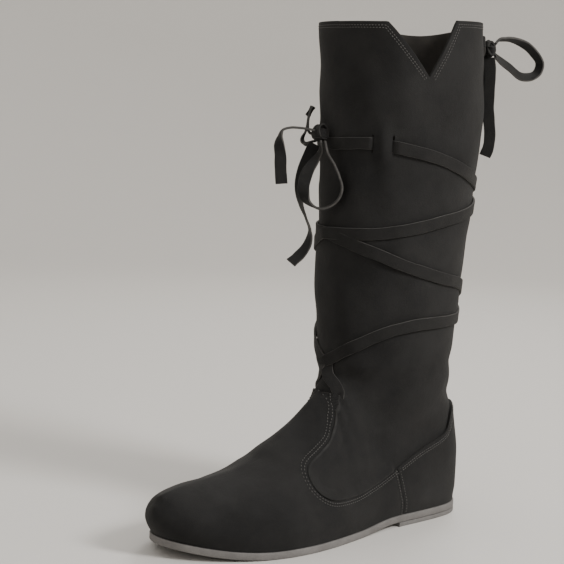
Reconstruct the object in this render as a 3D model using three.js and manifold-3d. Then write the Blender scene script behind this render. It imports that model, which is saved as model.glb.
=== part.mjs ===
// A flat, calf-high medieval style boot, left foot, in millimetres.
// The origin lies on the floor under the middle of the heel. +X runs to the toe,
// +Y to the boot's outer side and +Z up.
import * as THREE from "three";
import { mergeVertices } from "three/addons/utils/BufferGeometryUtils.js";
import Module from "manifold-3d";

const wasm = await Module();
wasm.setup();

// Last and shaft
const heelSetback = 28.5; // origin back to the rear of the upper's heel
const toeReach = 231; // origin forward to the upper's toe tip
const ballWidth = 93;
const heelWidth = 58;
const ankleHeight = 114;
const ankleFront = 86;
const ankleBack = 17.5;
const ankleWidth = 82;
const bootHeight = 350.5;
const collarFront = 91;
const collarBack = 28;
const collarWidth = 105.5;

// Sole
const soleThickness = 4.9;
const heelRise = 3.2; // step of the low heel moulded under the sole
const heelBreast = 45; // origin forward to the heel's front face
const archRun = 44; // length over which the waist comes down to the floor
const toeSpring = 9;
const soleEdge = 0.9; // how far the sole stands out past the panels' lower edge

// Leather
const wall = 2;
const panelThickness = 1.4;
const lastingMargin = 12; // what the upper turns in under the foot
const insoleThickness = 3;
const seat = 0.3; // clearance between curved pieces that touch

// Panels, notch and slits
const throatHeight = 95.5; // top edge of the vamp at the front of the ankle
const throatCorner = 89.8; // where that edge turns down, forward of the origin
const counterHeight = 81;
const counterFront = 48; // upper end of the counter's front edge
const counterLean = 8; // how much further back that edge ends at the sole
const notchDepth = 37.5;
const notchWidth = 48;
const notchPlace = 53.5; // notch's middle, forward of the origin
const slitHeight = 15;
const slitWidth = 2.2;
const slitPlace = 268; // height of the slits' middle above the floor
const laceTurn = -5; // degrees that the lacing's front lies round to the inner side
const knotTurn = -12; // degrees round to the knot of the front bow
const slitTurns = [33, 48.5]; // degrees round from the lacing's front, both ways
const eyeletHeight = 9;
const eyeletPlace = 342;
const backTurn = 151; // degrees round to the knot of the back lace
const eyeletTurn = 13; // degrees from there to its slits, both ways

// Thongs
const thongWidth = 8.2;
const thongThickness = 1.8;
const thongGap = 0.95; // from the faceted skin to the wound thongs
const thongStartLift = 1.2; // more than that where they leave the throat's hollow

const blend = 55; // height above which level rows no longer follow the sole
const columns = 36; // round the boot
const degree = Math.PI / 180;

// A smooth curve through a table's rows, read by one column and giving another, with no overshoot.
function curve(rows, from, to) {
  const t = rows.map((row) => row[from]);
  const v = rows.map((row) => row[to]);
  const step = t.slice(1).map((next, i) => (v[i + 1] - v[i]) / (next - t[i]));
  const slope = t.map((_, i) => {
    if (i === 0) return step[0];
    if (i === t.length - 1) return step[i - 1];
    const product = step[i - 1] * step[i];
    return product <= 0 ? 0 : (2 * product) / (step[i - 1] + step[i]);
  });
  return (at) => {
    const last = t.length - 2;
    const x = Math.min(Math.max(at, t[0]), t[t.length - 1]);
    let i = t.findIndex((limit) => limit > x) - 1;
    if (i < 0) i = last;
    const width = t[i + 1] - t[i];
    const s = (x - t[i]) / width;
    const rise = v[i + 1] - v[i];
    const bend = (1 - s) * (slope[i] * width - rise) - s * (slope[i + 1] * width - rise);
    return v[i] + s * rise + s * (1 - s) * bend;
  };
}

const smooth = (share) => {
  const s = Math.min(Math.max(share, 0), 1);
  return s * s * (3 - 2 * s);
};

// Foot, seen from the side. up is a share of the ankle height, ridge of the toe reach, back of the
// heel setback. front and wide are those of the ankle's tube inside the foot, as shares of the
// ankle front and of the ankle width.
const footRows = [
  { up: 0, ridge: 0.97, back: 1.057, front: 0.79, wide: 0.4 },
  { up: 0.06, ridge: 0.985, back: 1.077, front: 0.8, wide: 0.43 },
  { up: 0.12, ridge: 0.995, back: 1.108, front: 0.81, wide: 0.47 },
  { up: 0.2, ridge: 1, back: 1.125, front: 0.83, wide: 0.51 },
  { up: 0.26, ridge: 0.988, back: 1.128, front: 0.84, wide: 0.54 },
  { up: 0.32, ridge: 0.978, back: 1.118, front: 0.85, wide: 0.57 },
  { up: 0.36, ridge: 0.88, back: 1.112, front: 0.86, wide: 0.6 },
  { up: 0.41, ridge: 0.734, back: 1.103, front: 0.87, wide: 0.62 },
  { up: 0.46, ridge: 0.668, back: 1.086, front: 0.88, wide: 0.65 },
  { up: 0.53, ridge: 0.616, back: 1.043, front: 0.9, wide: 0.69 },
  { up: 0.6, ridge: 0.561, back: 0.97, front: 0.92, wide: 0.74 },
  { up: 0.68, ridge: 0.498, back: 0.865, front: 0.94, wide: 0.8 },
  { up: 0.76, ridge: 0.448, back: 0.763, front: 0.96, wide: 0.86 },
  { up: 0.84, ridge: 0.401, back: 0.723, front: 0.975, wide: 0.92 },
  { up: 0.92, ridge: 0.395, back: 0.681, front: 0.99, wide: 0.965 },
  { up: 1, ridge: ankleFront / toeReach, back: ankleBack / heelSetback, front: 1, wide: 1 },
];
const tipUp = 0.2; // where the toe reaches furthest

// Shaft, from the ankle at 0 to the collar at 1. Each column is a share of the way between the
// ankle's size and the collar's.
const shaftRows = [
  { up: 0, front: 0, back: 0, spread: 0 },
  { up: 0.13, front: 0.1, back: 0.2, spread: 0.2 },
  { up: 0.28, front: 0.27, back: 0.48, spread: 0.41 },
  { up: 0.47, front: 0.11, back: 0.87, spread: 0.66 },
  { up: 0.66, front: -0.16, back: 1.34, spread: 0.86 },
  { up: 0.81, front: 0.13, back: 1.36, spread: 0.96 },
  { up: 1, front: 1, back: 1, spread: 1 },
];

// Outline of the foot from above, as shares of half the ball width, from the heel's round end to
// the toe's. Both ends are curves of their own.
const outlineRows = [
  { along: 0.12, outer: heelWidth / ballWidth, inner: heelWidth / ballWidth },
  { along: 0.2, outer: 0.67, inner: 0.66 },
  { along: 0.3, outer: 0.69, inner: 0.6 },
  { along: 0.4, outer: 0.76, inner: 0.54 },
  { along: 0.5, outer: 0.89, inner: 0.56 },
  { along: 0.6, outer: 1, inner: 0.72 },
  { along: 0.66, outer: 1.03, inner: 0.9 },
  { along: 0.72, outer: 1.02, inner: 0.97 },
];
const heelRound = 0.12; // share of the length taken by the heel's round end
const toeRound = 0.28;
const toePower = { outer: 1.62, inner: 2 };
const domePower = 2.18; // how boxy the foot's cross sections are
const domeRoot = 1.43;
const tubePower = 2.15; // the same for the shaft
const lowerBulge = 0.04; // how much wider the foot is above its lower edge
const bulgeHeight = 13;
const joinWidth = 13; // how softly foot and shaft run into each other

const foot = {};
for (const key of ["ridge", "back", "front", "wide"]) foot[key] = curve(footRows, "up", key);
const shaft = {};
for (const key of ["front", "back", "spread"]) shaft[key] = curve(shaftRows, "up", key);
const outline = {
  outer: curve(outlineRows, "along", "outer"),
  inner: curve(outlineRows, "along", "inner"),
};

const mix = (a, b, share) => a + (b - a) * share;
const shaftShare = (level) => (level - ankleHeight) / (bootHeight - ankleHeight);

// Where the boot's front, rear and ankle tube lie at a level.
function frontAt(level) {
  if (level < ankleHeight) return toeReach * foot.ridge(level / ankleHeight);
  return mix(ankleFront, collarFront, shaft.front(shaftShare(level)));
}

function backAt(level) {
  if (level < ankleHeight) return -heelSetback * foot.back(level / ankleHeight);
  return -mix(ankleBack, collarBack, shaft.back(shaftShare(level)));
}

function tubeAt(level) {
  const back = backAt(level);
  if (level < ankleHeight) {
    const up = level / ankleHeight;
    return { back, front: ankleFront * foot.front(up), half: (ankleWidth / 2) * foot.wide(up) };
  }
  const half = mix(ankleWidth, collarWidth, shaft.spread(shaftShare(level))) / 2;
  return { back, front: frontAt(level), half };
}

// Height of the foot's top line at a place along it, read off the side view.
function ridgeHeight(x) {
  let low = tipUp * ankleHeight;
  let high = ankleHeight;
  if (x <= ankleFront) return high;
  if (x >= toeReach) return low;
  while (high - low > 0.01) {
    const middle = (low + high) / 2;
    if (frontAt(middle) > x) low = middle;
    else high = middle;
  }
  return (low + high) / 2;
}

function outlineHalf(along, side) {
  if (along <= 0 || along >= 1) return 0;
  const half = ballWidth / 2;
  if (along < heelRound) {
    const rest = (heelRound - along) / heelRound;
    return half * outline[side](heelRound) * Math.sqrt(1 - rest * rest);
  }
  if (along < 1 - toeRound) return half * outline[side](along);
  const rest = (along - 1 + toeRound) / toeRound;
  return half * outline[side](1 - toeRound) * (1 - rest ** toePower[side]) ** (1 / toePower[side]);
}

// Half the boot's width at a place along it and a level: a domed foot joined to an oval tube.
function halfWidth(x, level, side) {
  const tip = level < tipUp * ankleHeight ? frontAt(level) : toeReach;
  const back = backAt(level);
  const dome = Math.max(1 - (Math.max(level, 0) / ridgeHeight(x)) ** domePower, 0) ** (1 / domeRoot);
  const swell = 1 + lowerBulge * smooth(level / bulgeHeight);
  const inFoot = outlineHalf((x - back) / (tip - back), side) * dome * swell;
  const tube = tubeAt(level);
  const reach = (tube.front - tube.back) / 2;
  const off = Math.abs(x - (tube.front + tube.back) / 2) / reach;
  const inTube = tube.half * Math.max(1 - off ** tubePower, 0) ** (1 / tubePower);
  const wide = Math.max(inFoot, inTube);
  const soft = Math.min(joinWidth, wide / 2);
  if (soft <= 0) return 0;
  const near = Math.max(1 - Math.abs(inFoot - inTube) / soft, 0);
  return wide + (soft * near * near) / 4;
}

// Top of the outsole: flat at the heel, down through the waist, flat at the ball, up at the toe.
function soleTop(x) {
  const heel = heelRise * (1 - smooth((x - heelBreast) / archRun));
  const springStart = toeReach * 0.7;
  const toe = Math.max((x - springStart) / (toeReach - springStart), 0);
  return soleThickness + heel + toeSpring * toe * toe;
}

// A point on the boot's outer skin. turn runs round from the front (0) over the outer side.
// Its distance sideways is a mean over nearby turns, which rounds the hollow beside the instep.
const evenTurn = 8 * degree;
const evenShares = [0.25, 0.5, 0.25];

function skinPoint(turn, level) {
  const front = frontAt(level);
  const back = backAt(level);
  const placeAt = (angle) => (front + back) / 2 + ((front - back) / 2) * Math.cos(angle);
  const x = placeAt(turn);
  let y = 0;
  evenShares.forEach((share, i) => {
    const angle = turn + (i - 1) * evenTurn;
    const across = Math.sin(angle);
    if (Math.abs(across) < 1e-9) return;
    y += share * Math.sign(across) * halfWidth(placeAt(angle), level, across > 0 ? "outer" : "inner");
  });
  const base = soleTop(x) + seat;
  const z = level < blend ? level + base * (1 - level / blend) : level;
  return new THREE.Vector3(x, y, z);
}

function skinNormal(turn, level) {
  const dTurn = 0.03;
  const dLevel = 0.6;
  const at = Math.min(Math.max(level, 0), bootHeight);
  const round = skinPoint(turn + dTurn, at).sub(skinPoint(turn - dTurn, at));
  const up = skinPoint(turn, at + dLevel).sub(skinPoint(turn, Math.max(at - dLevel, 0)));
  const normal = round.cross(up).normalize();
  normal.z *= smooth(at / bulgeHeight); // the lower edge moves out level, clear of the sole
  return normal.normalize();
}

// The skin moved out (or in, below zero) by an offset, and kept as high over the sole as before.
function offsetPoint(turn, level, offset) {
  const point = skinPoint(turn, level);
  const before = soleTop(point.x);
  point.addScaledVector(skinNormal(turn, level), offset);
  point.z += (soleTop(point.x) - before) * Math.max(1 - level / blend, 0);
  return point;
}

// Turns points and faces into a solid, and a solid into a mesh.
function solidOf(geometry) {
  const bare = geometry.index ? geometry.toNonIndexed() : geometry.clone();
  bare.deleteAttribute("normal");
  bare.deleteAttribute("uv");
  const merged = mergeVertices(bare, 1e-4);
  return new wasm.Manifold(
    new wasm.Mesh({
      numProp: 3,
      vertProperties: merged.attributes.position.array,
      triVerts: new Uint32Array(merged.index.array),
    }),
  );
}

function geometryOf(points, faces) {
  const geometry = new THREE.BufferGeometry();
  geometry.setAttribute("position", new THREE.Float32BufferAttribute(points.flatMap((p) => p.toArray()), 3));
  geometry.setIndex(faces.flat());
  return geometry;
}

function meshOf(solid, name, material) {
  const made = solid.getMesh();
  const geometry = new THREE.BufferGeometry();
  const position = new Float32Array((made.vertProperties.length / made.numProp) * 3);
  for (let i = 0; i < position.length / 3; i++)
    for (let k = 0; k < 3; k++) position[3 * i + k] = made.vertProperties[made.numProp * i + k];
  geometry.setAttribute("position", new THREE.BufferAttribute(position, 3));
  geometry.setIndex(new THREE.BufferAttribute(made.triVerts, 1));
  const flat = geometry.toNonIndexed();
  flat.computeVertexNormals();
  const mesh = new THREE.Mesh(flat, material);
  mesh.name = name;
  return mesh;
}

// A closed solid from rings of equal length that share their places along the boot. The first
// ring is closed by strips below and the last by strips above.
function solidFromRings(rings) {
  const count = rings[0].length;
  const points = rings.flat();
  const faces = [];
  for (let row = 0; row + 1 < rings.length; row++) {
    for (let i = 0; i < count; i++) {
      const next = (i + 1) % count;
      const a = row * count + i;
      const b = row * count + next;
      faces.push([a, b, b + count], [a, b + count, a + count]);
    }
  }
  const top = (rings.length - 1) * count;
  for (let i = 0; i < count / 2; i++) {
    const mirror = (k) => (count - k) % count;
    const strip = [i, i + 1, mirror(i + 1), mirror(i)];
    const corners = strip.filter((k, j) => strip.indexOf(k) === j);
    for (let j = 1; j + 1 < corners.length; j++) {
      faces.push([corners[0], corners[j + 1], corners[j]]);
      faces.push([top + corners[0], top + corners[j], top + corners[j + 1]]);
    }
  }
  return solidOf(geometryOf(points, faces));
}

// Levels of the rows between two heights: close together over the toe and at the throat, wide
// apart in the shaft. until is a share of the ankle height.
const levelSteps = [
  { until: 0.48, step: 5.5 },
  { until: 0.8, step: 7.3 },
  { until: 1.1, step: 4.6 },
  { until: 1.4, step: 10 },
  { until: 9, step: 29 },
];

function levelsBetween(low, high) {
  const levels = [low];
  let next = 0;
  for (const { until, step } of levelSteps) {
    while (next + step <= until * ankleHeight) {
      next += step;
      if (next > low + step / 3 && next < high - step / 3) levels.push(next);
    }
  }
  levels.push(high);
  return levels;
}

// The boot's form, moved out by an offset, between two levels.
function form(offset, low, high) {
  const rings = levelsBetween(low, high).map((level) => {
    const ring = [];
    for (let i = 0; i < columns; i++)
      ring.push(offsetPoint((i / columns) * 2 * Math.PI, Math.min(level, bootHeight), offset));
    const past = Math.max(level - bootHeight, 0);
    ring.forEach((point) => (point.z += past));
    return ring;
  });
  return solidFromRings(rings);
}

// A prism over a side view outline (forward, up), from one side to the other.
function sidePrism(points, from, to) {
  const shape = new THREE.Shape(points.map(([x, z]) => new THREE.Vector2(x, z)));
  const geometry = new THREE.ExtrudeGeometry(shape, { depth: to - from, bevelEnabled: false });
  geometry.rotateX(Math.PI / 2);
  geometry.translate(0, to, 0);
  return solidOf(geometry);
}

// A box cutter through the wall, standing upright at a turn and height.
function slitCutter(turn, height, tall) {
  const depth = 6 * wall;
  const geometry = new THREE.BoxGeometry(depth, slitWidth, tall);
  const normal = skinNormal(turn, height).setZ(0).normalize();
  const place = skinPoint(turn, height);
  geometry.rotateZ(Math.atan2(normal.y, normal.x));
  geometry.translate(place.x, place.y, place.z);
  return solidOf(geometry);
}

const slitSides = slitTurns.flatMap((turn) => [laceTurn + turn, laceTurn - turn]);

// The upper: one hollow wall from the margin under the foot up to the collar.
function makeUpper() {
  const outside = form(0, 0, bootHeight);
  const inside = form(-wall, wall, bootHeight + 12);
  const margin = form(-wall - lastingMargin, -wall, wall * 2);
  const notch = sidePrism(
    [
      [notchPlace - notchWidth / 2, bootHeight],
      [notchPlace - notchWidth / 2 - 1, bootHeight + 4],
      [notchPlace + notchWidth / 2 + 1, bootHeight + 4],
      [notchPlace + notchWidth / 2, bootHeight],
      [notchPlace, bootHeight - notchDepth],
    ],
    collarWidth / 4,
    collarWidth,
  );
  let upper = outside.subtract(inside).subtract(margin).subtract(notch);
  for (const turn of slitSides)
    upper = upper.subtract(slitCutter(turn * degree, slitPlace, slitHeight));
  for (const turn of [backTurn - eyeletTurn, backTurn + eyeletTurn])
    upper = upper.subtract(slitCutter(turn * degree, eyeletPlace, eyeletHeight));
  return upper;
}

const seamReach = throatCorner / 0.687; // the seam's foremost point

// Lower edge of the shaft over the vamp and counter, seen from the side: the throat's corner,
// down in front of the ankle, round its lowest lobe and back up to the heel. forward is a share
// of that reach, up a share of the throat's height.
const seamRows = [
  { forward: 0.687, up: 1 },
  { forward: 0.692, up: 0.955 },
  { forward: 0.701, up: 0.909 },
  { forward: 0.739, up: 0.808 },
  { forward: 0.8, up: 0.697 },
  { forward: 0.879, up: 0.623 },
  { forward: 0.953, up: 0.565 },
  { forward: 0.988, up: 0.527 },
  { forward: 1, up: 0.486 },
  { forward: 0.995, up: 0.429 },
  { forward: 0.963, up: 0.369 },
  { forward: 0.895, up: 0.3225 },
  { forward: 0.795, up: 0.311 },
  { forward: 0.673, up: 0.3215 },
  { forward: 0.513, up: 0.372 },
  { forward: counterFront / seamReach, up: 0.44 },
];

function seamPoints() {
  const edge = seamRows.map(({ forward, up }) => new THREE.Vector3(seamReach * forward, 0, throatHeight * up));
  const spline = new THREE.CatmullRomCurve3(edge, false, "centripetal");
  return spline.getPoints(26).map((point) => [point.x, point.z]);
}

// Upper edge of the counter, from its front corner to the rear of the heel.
const counterRows = [
  { back: 0, up: 0 },
  { back: 0.345, up: 0.265 },
  { back: 0.6, up: 0.42 },
  { back: 0.74, up: 0.53 },
  { back: 0.8, up: 0.68 },
  { back: 0.86, up: 0.86 },
  { back: 0.94, up: 0.98 },
  { back: 1.2, up: 1 },
];

function counterPoints(edgeStart) {
  const [startX, startZ] = edgeStart;
  const back = -ankleBack - 4;
  return counterRows.map((row) => [
    mix(startX, back, row.back),
    mix(startZ, counterHeight, row.up),
  ]);
}

function makePanels() {
  const outer = form(seat + panelThickness, 0, ankleHeight);
  const inner = form(seat, 0, ankleHeight + 5);
  const below = form(seat, -wall, wall);
  const skin = outer.subtract(inner).subtract(below);
  const seam = seamPoints();
  const seamEnd = seam[seam.length - 1];
  const far = toeReach + 40;
  const split = seat / 2;
  const vamp = sidePrism(
    [
      [far, -5],
      [far, throatHeight],
      ...seam.slice(0, -1),
      [counterFront + split, seamEnd[1]],
      [counterFront - counterLean + split, -5],
    ],
    -ballWidth,
    ballWidth,
  );
  const rear = -heelSetback - 40;
  const counter = sidePrism(
    [
      [counterFront - counterLean - split, -5],
      ...counterPoints([counterFront - split, seamEnd[1]]),
      [rear, counterHeight],
      [rear, -5],
    ],
    -ballWidth,
    ballWidth,
  );
  return { vamp: skin.intersect(vamp), counter: skin.intersect(counter) };
}

function makeInsole() {
  const low = wall + seat;
  return form(-wall - 2 * seat, low, low + insoleThickness);
}

// Sole plan: the upper's lower edge moved out past the panels.
function soleRing(inward) {
  const ring = [];
  for (let i = 0; i < 2 * columns; i++) {
    const turn = (i / (2 * columns)) * 2 * Math.PI;
    const point = skinPoint(turn, 0);
    const out = skinNormal(turn, 0).setZ(0).normalize();
    ring.push(point.addScaledVector(out, seat + panelThickness + soleEdge - inward));
  }
  return ring;
}

function makeOutsole() {
  const raise = (ring, height) => ring.map((p) => new THREE.Vector3(p.x, p.y, height(p.x)));
  const edge = soleRing(0);
  const rounded = soleRing(0.7);
  const under = (x) => soleTop(x) - soleThickness;
  const sheet = solidFromRings([
    raise(rounded, under),
    raise(edge, (x) => under(x) + 0.7),
    raise(edge, (x) => soleTop(x)),
  ]);
  const block = solidFromRings([
    raise(rounded, () => 0),
    raise(edge, () => 0.7),
    raise(edge, () => heelRise + 1),
  ]);
  const ahead = new THREE.BoxGeometry(2 * toeReach, 2 * ballWidth, 6 * soleThickness);
  ahead.translate(heelBreast + toeReach, 0, 0);
  return sheet.add(block.subtract(solidOf(ahead)));
}

// A flat thong along stations, each with its middle, the way across it and the way it faces.
function thongSolid(stations, widthOf = () => thongWidth) {
  const points = [];
  const faces = [];
  stations.forEach(({ corners, middle, across, face }, i) => {
    if (corners) {
      points.push(...corners);
      return;
    }
    const half = widthOf(i) / 2;
    for (const [w, t] of [[-1, -1], [1, -1], [1, 1], [-1, 1]])
      points.push(
        middle.clone().addScaledVector(across, w * half).addScaledVector(face, (t * thongThickness) / 2),
      );
  });
  for (let i = 0; i + 1 < stations.length; i++)
    for (let k = 0; k < 4; k++) {
      const a = 4 * i + k;
      const b = 4 * i + ((k + 1) % 4);
      faces.push([a, b, b + 4], [a, b + 4, a + 4]);
    }
  const end = 4 * (stations.length - 1);
  faces.push([0, 2, 1], [0, 3, 2], [end, end + 1, end + 2], [end, end + 2, end + 3]);
  const solid = solidOf(geometryOf(points, faces));
  if (solid.volume() > 0) return solid;
  return solidOf(geometryOf(points, faces.map(([a, b, c]) => [a, c, b])));
}

const windingStep = 10; // degrees round the boot between stations
const startRun = 45; // degrees over which a thong comes down to its usual gap

// A thong wound on the shaft, by a table of turns (degrees) and shares of the climb.
function woundThong(rows, mirror, centre, startLift = 0) {
  const climb = curve(rows, "turn", "up");
  const heightAt = (turn) => mix(throatHeight, slitPlace, climb(turn));
  const first = rows[0].turn;
  const last = rows[rows.length - 1].turn;
  const steps = Math.ceil(Math.abs(last - first) / windingStep);
  const stations = [];
  for (let i = 0; i <= steps; i++) {
    const turn = mix(first, last, i / steps);
    const height = heightAt(turn);
    const at = (angle, z, offset) => offsetPoint((centre + mirror * angle) * degree, z, offset);
    const here = at(turn, height, 0);
    const round = at(turn + 1, height, 0).sub(here);
    const ahead = at(turn + 1, heightAt(turn + 1), 0).sub(at(turn - 1, heightAt(turn - 1), 0));
    const normal = skinNormal((centre + mirror * turn) * degree, height);
    const across = normal.clone().cross(ahead).normalize();
    const corner = (side, out) => {
      const shift = across.clone().multiplyScalar((side * thongWidth) / 2);
      const angle = turn + shift.dot(round) / round.lengthSq();
      return at(angle, height + shift.z, out);
    };
    const low = thongGap + startLift * (1 - smooth(Math.abs(turn - first) / startRun));
    const high = low + thongThickness;
    stations.push({ corners: [corner(-1, low), corner(1, low), corner(1, high), corner(-1, high)] });
  }
  return thongSolid(stations);
}

// One wrapping thong, from the throat's corner to the slits: it crosses the front, the back, the
// front and the back again while it climbs. turn counts on round the boot, and up is a share of
// the way from the throat to the slits.
const wrapRoute = [
  { turn: -22.5, up: 0.034 },
  { turn: -20, up: 0.047 },
  { turn: -12, up: 0.078 },
  { turn: -5, up: 0.099 },
  { turn: 0, up: 0.113 },
  { turn: 10.5, up: 0.14 },
  { turn: 23, up: 0.175 },
  { turn: 35.5, up: 0.206 },
  { turn: 50, up: 0.241 },
  { turn: 64.5, up: 0.268 },
  { turn: 88.5, up: 0.287 },
  { turn: 112, up: 0.289 },
  { turn: 134.5, up: 0.291 },
  { turn: 180, up: 0.351 },
  { turn: 224.5, up: 0.434 },
  { turn: 256.5, up: 0.467 },
  { turn: 277, up: 0.496 },
  { turn: 296.5, up: 0.528 },
  { turn: 314.5, up: 0.564 },
  { turn: 326, up: 0.582 },
  { turn: 337.5, up: 0.601 },
  { turn: 348, up: 0.618 },
  { turn: 360, up: 0.635 },
  { turn: 378.5, up: 0.638 },
  { turn: 391.5, up: 0.641 },
  { turn: 404, up: 0.646 },
  { turn: 421, up: 0.66 },
  { turn: 438, up: 0.677 },
  { turn: 457, up: 0.701 },
  { turn: 485.5, up: 0.728 },
  { turn: 540, up: 0.803 },
  { turn: 592, up: 0.87 },
  { turn: 609, up: 0.899 },
  { turn: 622.5, up: 0.924 },
  { turn: 636.5, up: 0.947 },
  { turn: 649, up: 0.964 },
  { turn: 660, up: 0.976 },
  { turn: 668, up: 0.984 },
];

// The stretch in front, between the first slits on either side, under the knot.
const frontRoute = [
  { turn: -29.5, up: 0.997 },
  { turn: -14, up: 0.994 },
  { turn: 0, up: 0.991 },
  { turn: 14, up: 0.994 },
  { turn: 29.5, up: 0.997 },
];

// The back lace, from one slit down to the knot and up to the other.
const backRoute = [
  { turn: -10.5, up: 1.42 },
  { turn: -6, up: 1.403 },
  { turn: 0, up: 1.388 },
  { turn: 6, up: 1.403 },
  { turn: 10.5, up: 1.42 },
];

// A hanging thong through hand-placed points, counted from its knot. lay is the compass direction,
// in degrees from +X towards +Y, that the thong's width points along, and tilt how far it rises.
function freeThong(knot, route, perSpan = 2) {
  const spline = new THREE.CatmullRomCurve3(
    route.map(({ x, y, z }) => new THREE.Vector3(x, y, z).add(knot.place)),
    false,
    "centripetal",
  );
  const spans = route.length - 1;
  const stations = [];
  for (let i = 0; i <= spans * perSpan; i++) {
    const share = i / perSpan;
    const k = Math.min(Math.floor(share), spans - 1);
    const lay = mix(route[k].lay, route[k + 1].lay, share - k) * degree;
    const tilt = mix(route[k].tilt, route[k + 1].tilt, share - k) * degree;
    const middle = spline.getPoint(share / spans);
    const along = spline.getTangent(share / spans);
    const wide = new THREE.Vector3(Math.cos(lay), Math.sin(lay), Math.tan(tilt));
    const face = wide.cross(along).normalize();
    const across = along.clone().cross(face).normalize();
    stations.push({ middle, across, face });
  }
  return thongSolid(stations);
}

// A knot: a squashed ball of crossed thong lying on a wound stretch.
function makeKnot(turn, height, size) {
  const off = thongGap + thongThickness + seat + size.deep / 2;
  const place = offsetPoint(turn, height, off).setZ(height);
  const normal = skinNormal(turn, height);
  const geometry = new THREE.IcosahedronGeometry(1, 1);
  geometry.scale(size.deep / 2, size.wide / 2, size.high / 2);
  geometry.rotateZ(Math.atan2(normal.y, normal.x));
  geometry.translate(place.x, place.y, place.z);
  return { place, solid: solidOf(geometry) };
}

// The bow in front, over the front stretch. Places are counted from the middle of its knot.
const frontKnotSize = { deep: 8, wide: 13, high: 11 };
const frontKnotRise = 4.5; // how far the knot sits above the slits' middle
const frontLoopOuter = [
  { x: 1.5, y: 2.5, z: -5.5, lay: 50, tilt: 0 },
  { x: 3, y: 4, z: -12, lay: 65, tilt: 0 },
  { x: 7.5, y: 3.5, z: -18.5, lay: 100, tilt: 0 },
  { x: 12.5, y: 3, z: -25.5, lay: 130, tilt: 0 },
  { x: 15, y: 2.5, z: -33, lay: 139, tilt: 0 },
  { x: 15.5, y: 3, z: -40, lay: 120, tilt: 0 },
  { x: 13.5, y: 4.5, z: -46, lay: 85, tilt: 0 },
  { x: 8.5, y: 8, z: -50, lay: 55, tilt: 0 },
  { x: 5.5, y: 12, z: -50.5, lay: 50, tilt: 0 },
  { x: 1.5, y: 17.5, z: -47.5, lay: 50, tilt: 0 },
  { x: -0.5, y: 22, z: -42, lay: 50, tilt: 0 },
  { x: -1, y: 23.5, z: -35.5, lay: 50, tilt: 0 },
  { x: 0, y: 21.5, z: -28.5, lay: 50, tilt: 0 },
  { x: 0.5, y: 16.5, z: -20.5, lay: 50, tilt: 0 },
  { x: 1.5, y: 10.5, z: -13, lay: 50, tilt: 0 },
  { x: 0.5, y: 6.5, z: -6.5, lay: 50, tilt: 0 },
];
const frontLoopInner = [
  { x: -2, y: -8, z: -0.5, lay: 50, tilt: 0 },
  { x: 0, y: -11.5, z: 1, lay: 50, tilt: 0 },
  { x: -1, y: -14.5, z: 6.5, lay: 50, tilt: 0 },
  { x: -4, y: -17, z: 13, lay: 50, tilt: 0 },
  { x: -7.5, y: -20, z: 15.5, lay: 50, tilt: 0 },
  { x: -9, y: -23.5, z: 11, lay: 50, tilt: 0 },
  { x: -9, y: -25, z: 3.5, lay: 50, tilt: 0 },
  { x: -4.5, y: -23, z: -3.5, lay: 50, tilt: 0 },
  { x: -1.5, y: -17, z: -6.5, lay: 50, tilt: 0 },
  { x: -1.5, y: -9.5, z: -5.5, lay: 50, tilt: 0 },
];
const frontEndForward = [
  { x: 3.5, y: -3, z: 2.5, lay: 50, tilt: 0 },
  { x: 11, y: -7, z: 3.5, lay: 50, tilt: 0 },
  { x: 18.5, y: -10.5, z: 3.5, lay: 50, tilt: 0 },
  { x: 23.5, y: -12.5, z: 1.5, lay: 52, tilt: 0 },
  { x: 25, y: -13, z: -2.5, lay: 65, tilt: 0 },
  { x: 25.5, y: -13, z: -8, lay: 105, tilt: 0 },
  { x: 24.5, y: -12.5, z: -16, lay: 139, tilt: 0 },
  { x: 24, y: -12.5, z: -24, lay: 139, tilt: 0 },
  { x: 23, y: -12, z: -35, lay: 139, tilt: 0 },
];
const frontEndLong = [
  { x: 1.5, y: -3.5, z: -7, lay: 139, tilt: 0 },
  { x: 3.5, y: -5.5, z: -12.5, lay: 139, tilt: 0 },
  { x: 7.5, y: -7, z: -23, lay: 130, tilt: 0 },
  { x: 11, y: -7, z: -35.5, lay: 100, tilt: 0 },
  { x: 10, y: -6, z: -48.5, lay: 65, tilt: 0 },
  { x: 6, y: -4.5, z: -58.5, lay: 50, tilt: 0 },
  { x: 2.5, y: -4, z: -67, lay: 55, tilt: 0 },
  { x: 4.5, y: -4, z: -76.5, lay: 90, tilt: 0 },
  { x: 10.5, y: -5, z: -84, lay: 125, tilt: 0 },
  { x: 17, y: -6, z: -89, lay: 139, tilt: 0 },
];

// The bow behind the collar, counted from its own knot
const backKnotSize = { deep: 6, wide: 12, high: 11 };
const backKnotDrop = 6; // how far the knot sits below the middle of the lace's slits
const backLoopOut = [
  { x: -3.5, y: 1, z: 3.5, lay: 42, tilt: 0 },
  { x: -8, y: 1.5, z: 7.5, lay: 42, tilt: 0 },
  { x: -12.5, y: 2, z: 8.5, lay: 45, tilt: 8 },
  { x: -20, y: 4, z: 8.5, lay: 52, tilt: 15 },
  { x: -31, y: 7, z: 5, lay: 70, tilt: 26 },
  { x: -39, y: 9, z: -1, lay: 80, tilt: 18 },
  { x: -43.5, y: 10, z: -7, lay: 85, tilt: 0 },
  { x: -41, y: 10, z: -14, lay: 76, tilt: -26 },
  { x: -36, y: 8, z: -17, lay: 55, tilt: -38 },
  { x: -26.5, y: 6.5, z: -17, lay: 42, tilt: -43 },
  { x: -18, y: 4, z: -11.5, lay: 42, tilt: -43 },
  { x: -9.5, y: 2.5, z: -7, lay: 42, tilt: -35 },
  { x: -4, y: 1.5, z: -3.5, lay: 42, tilt: -20 },
];
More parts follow.
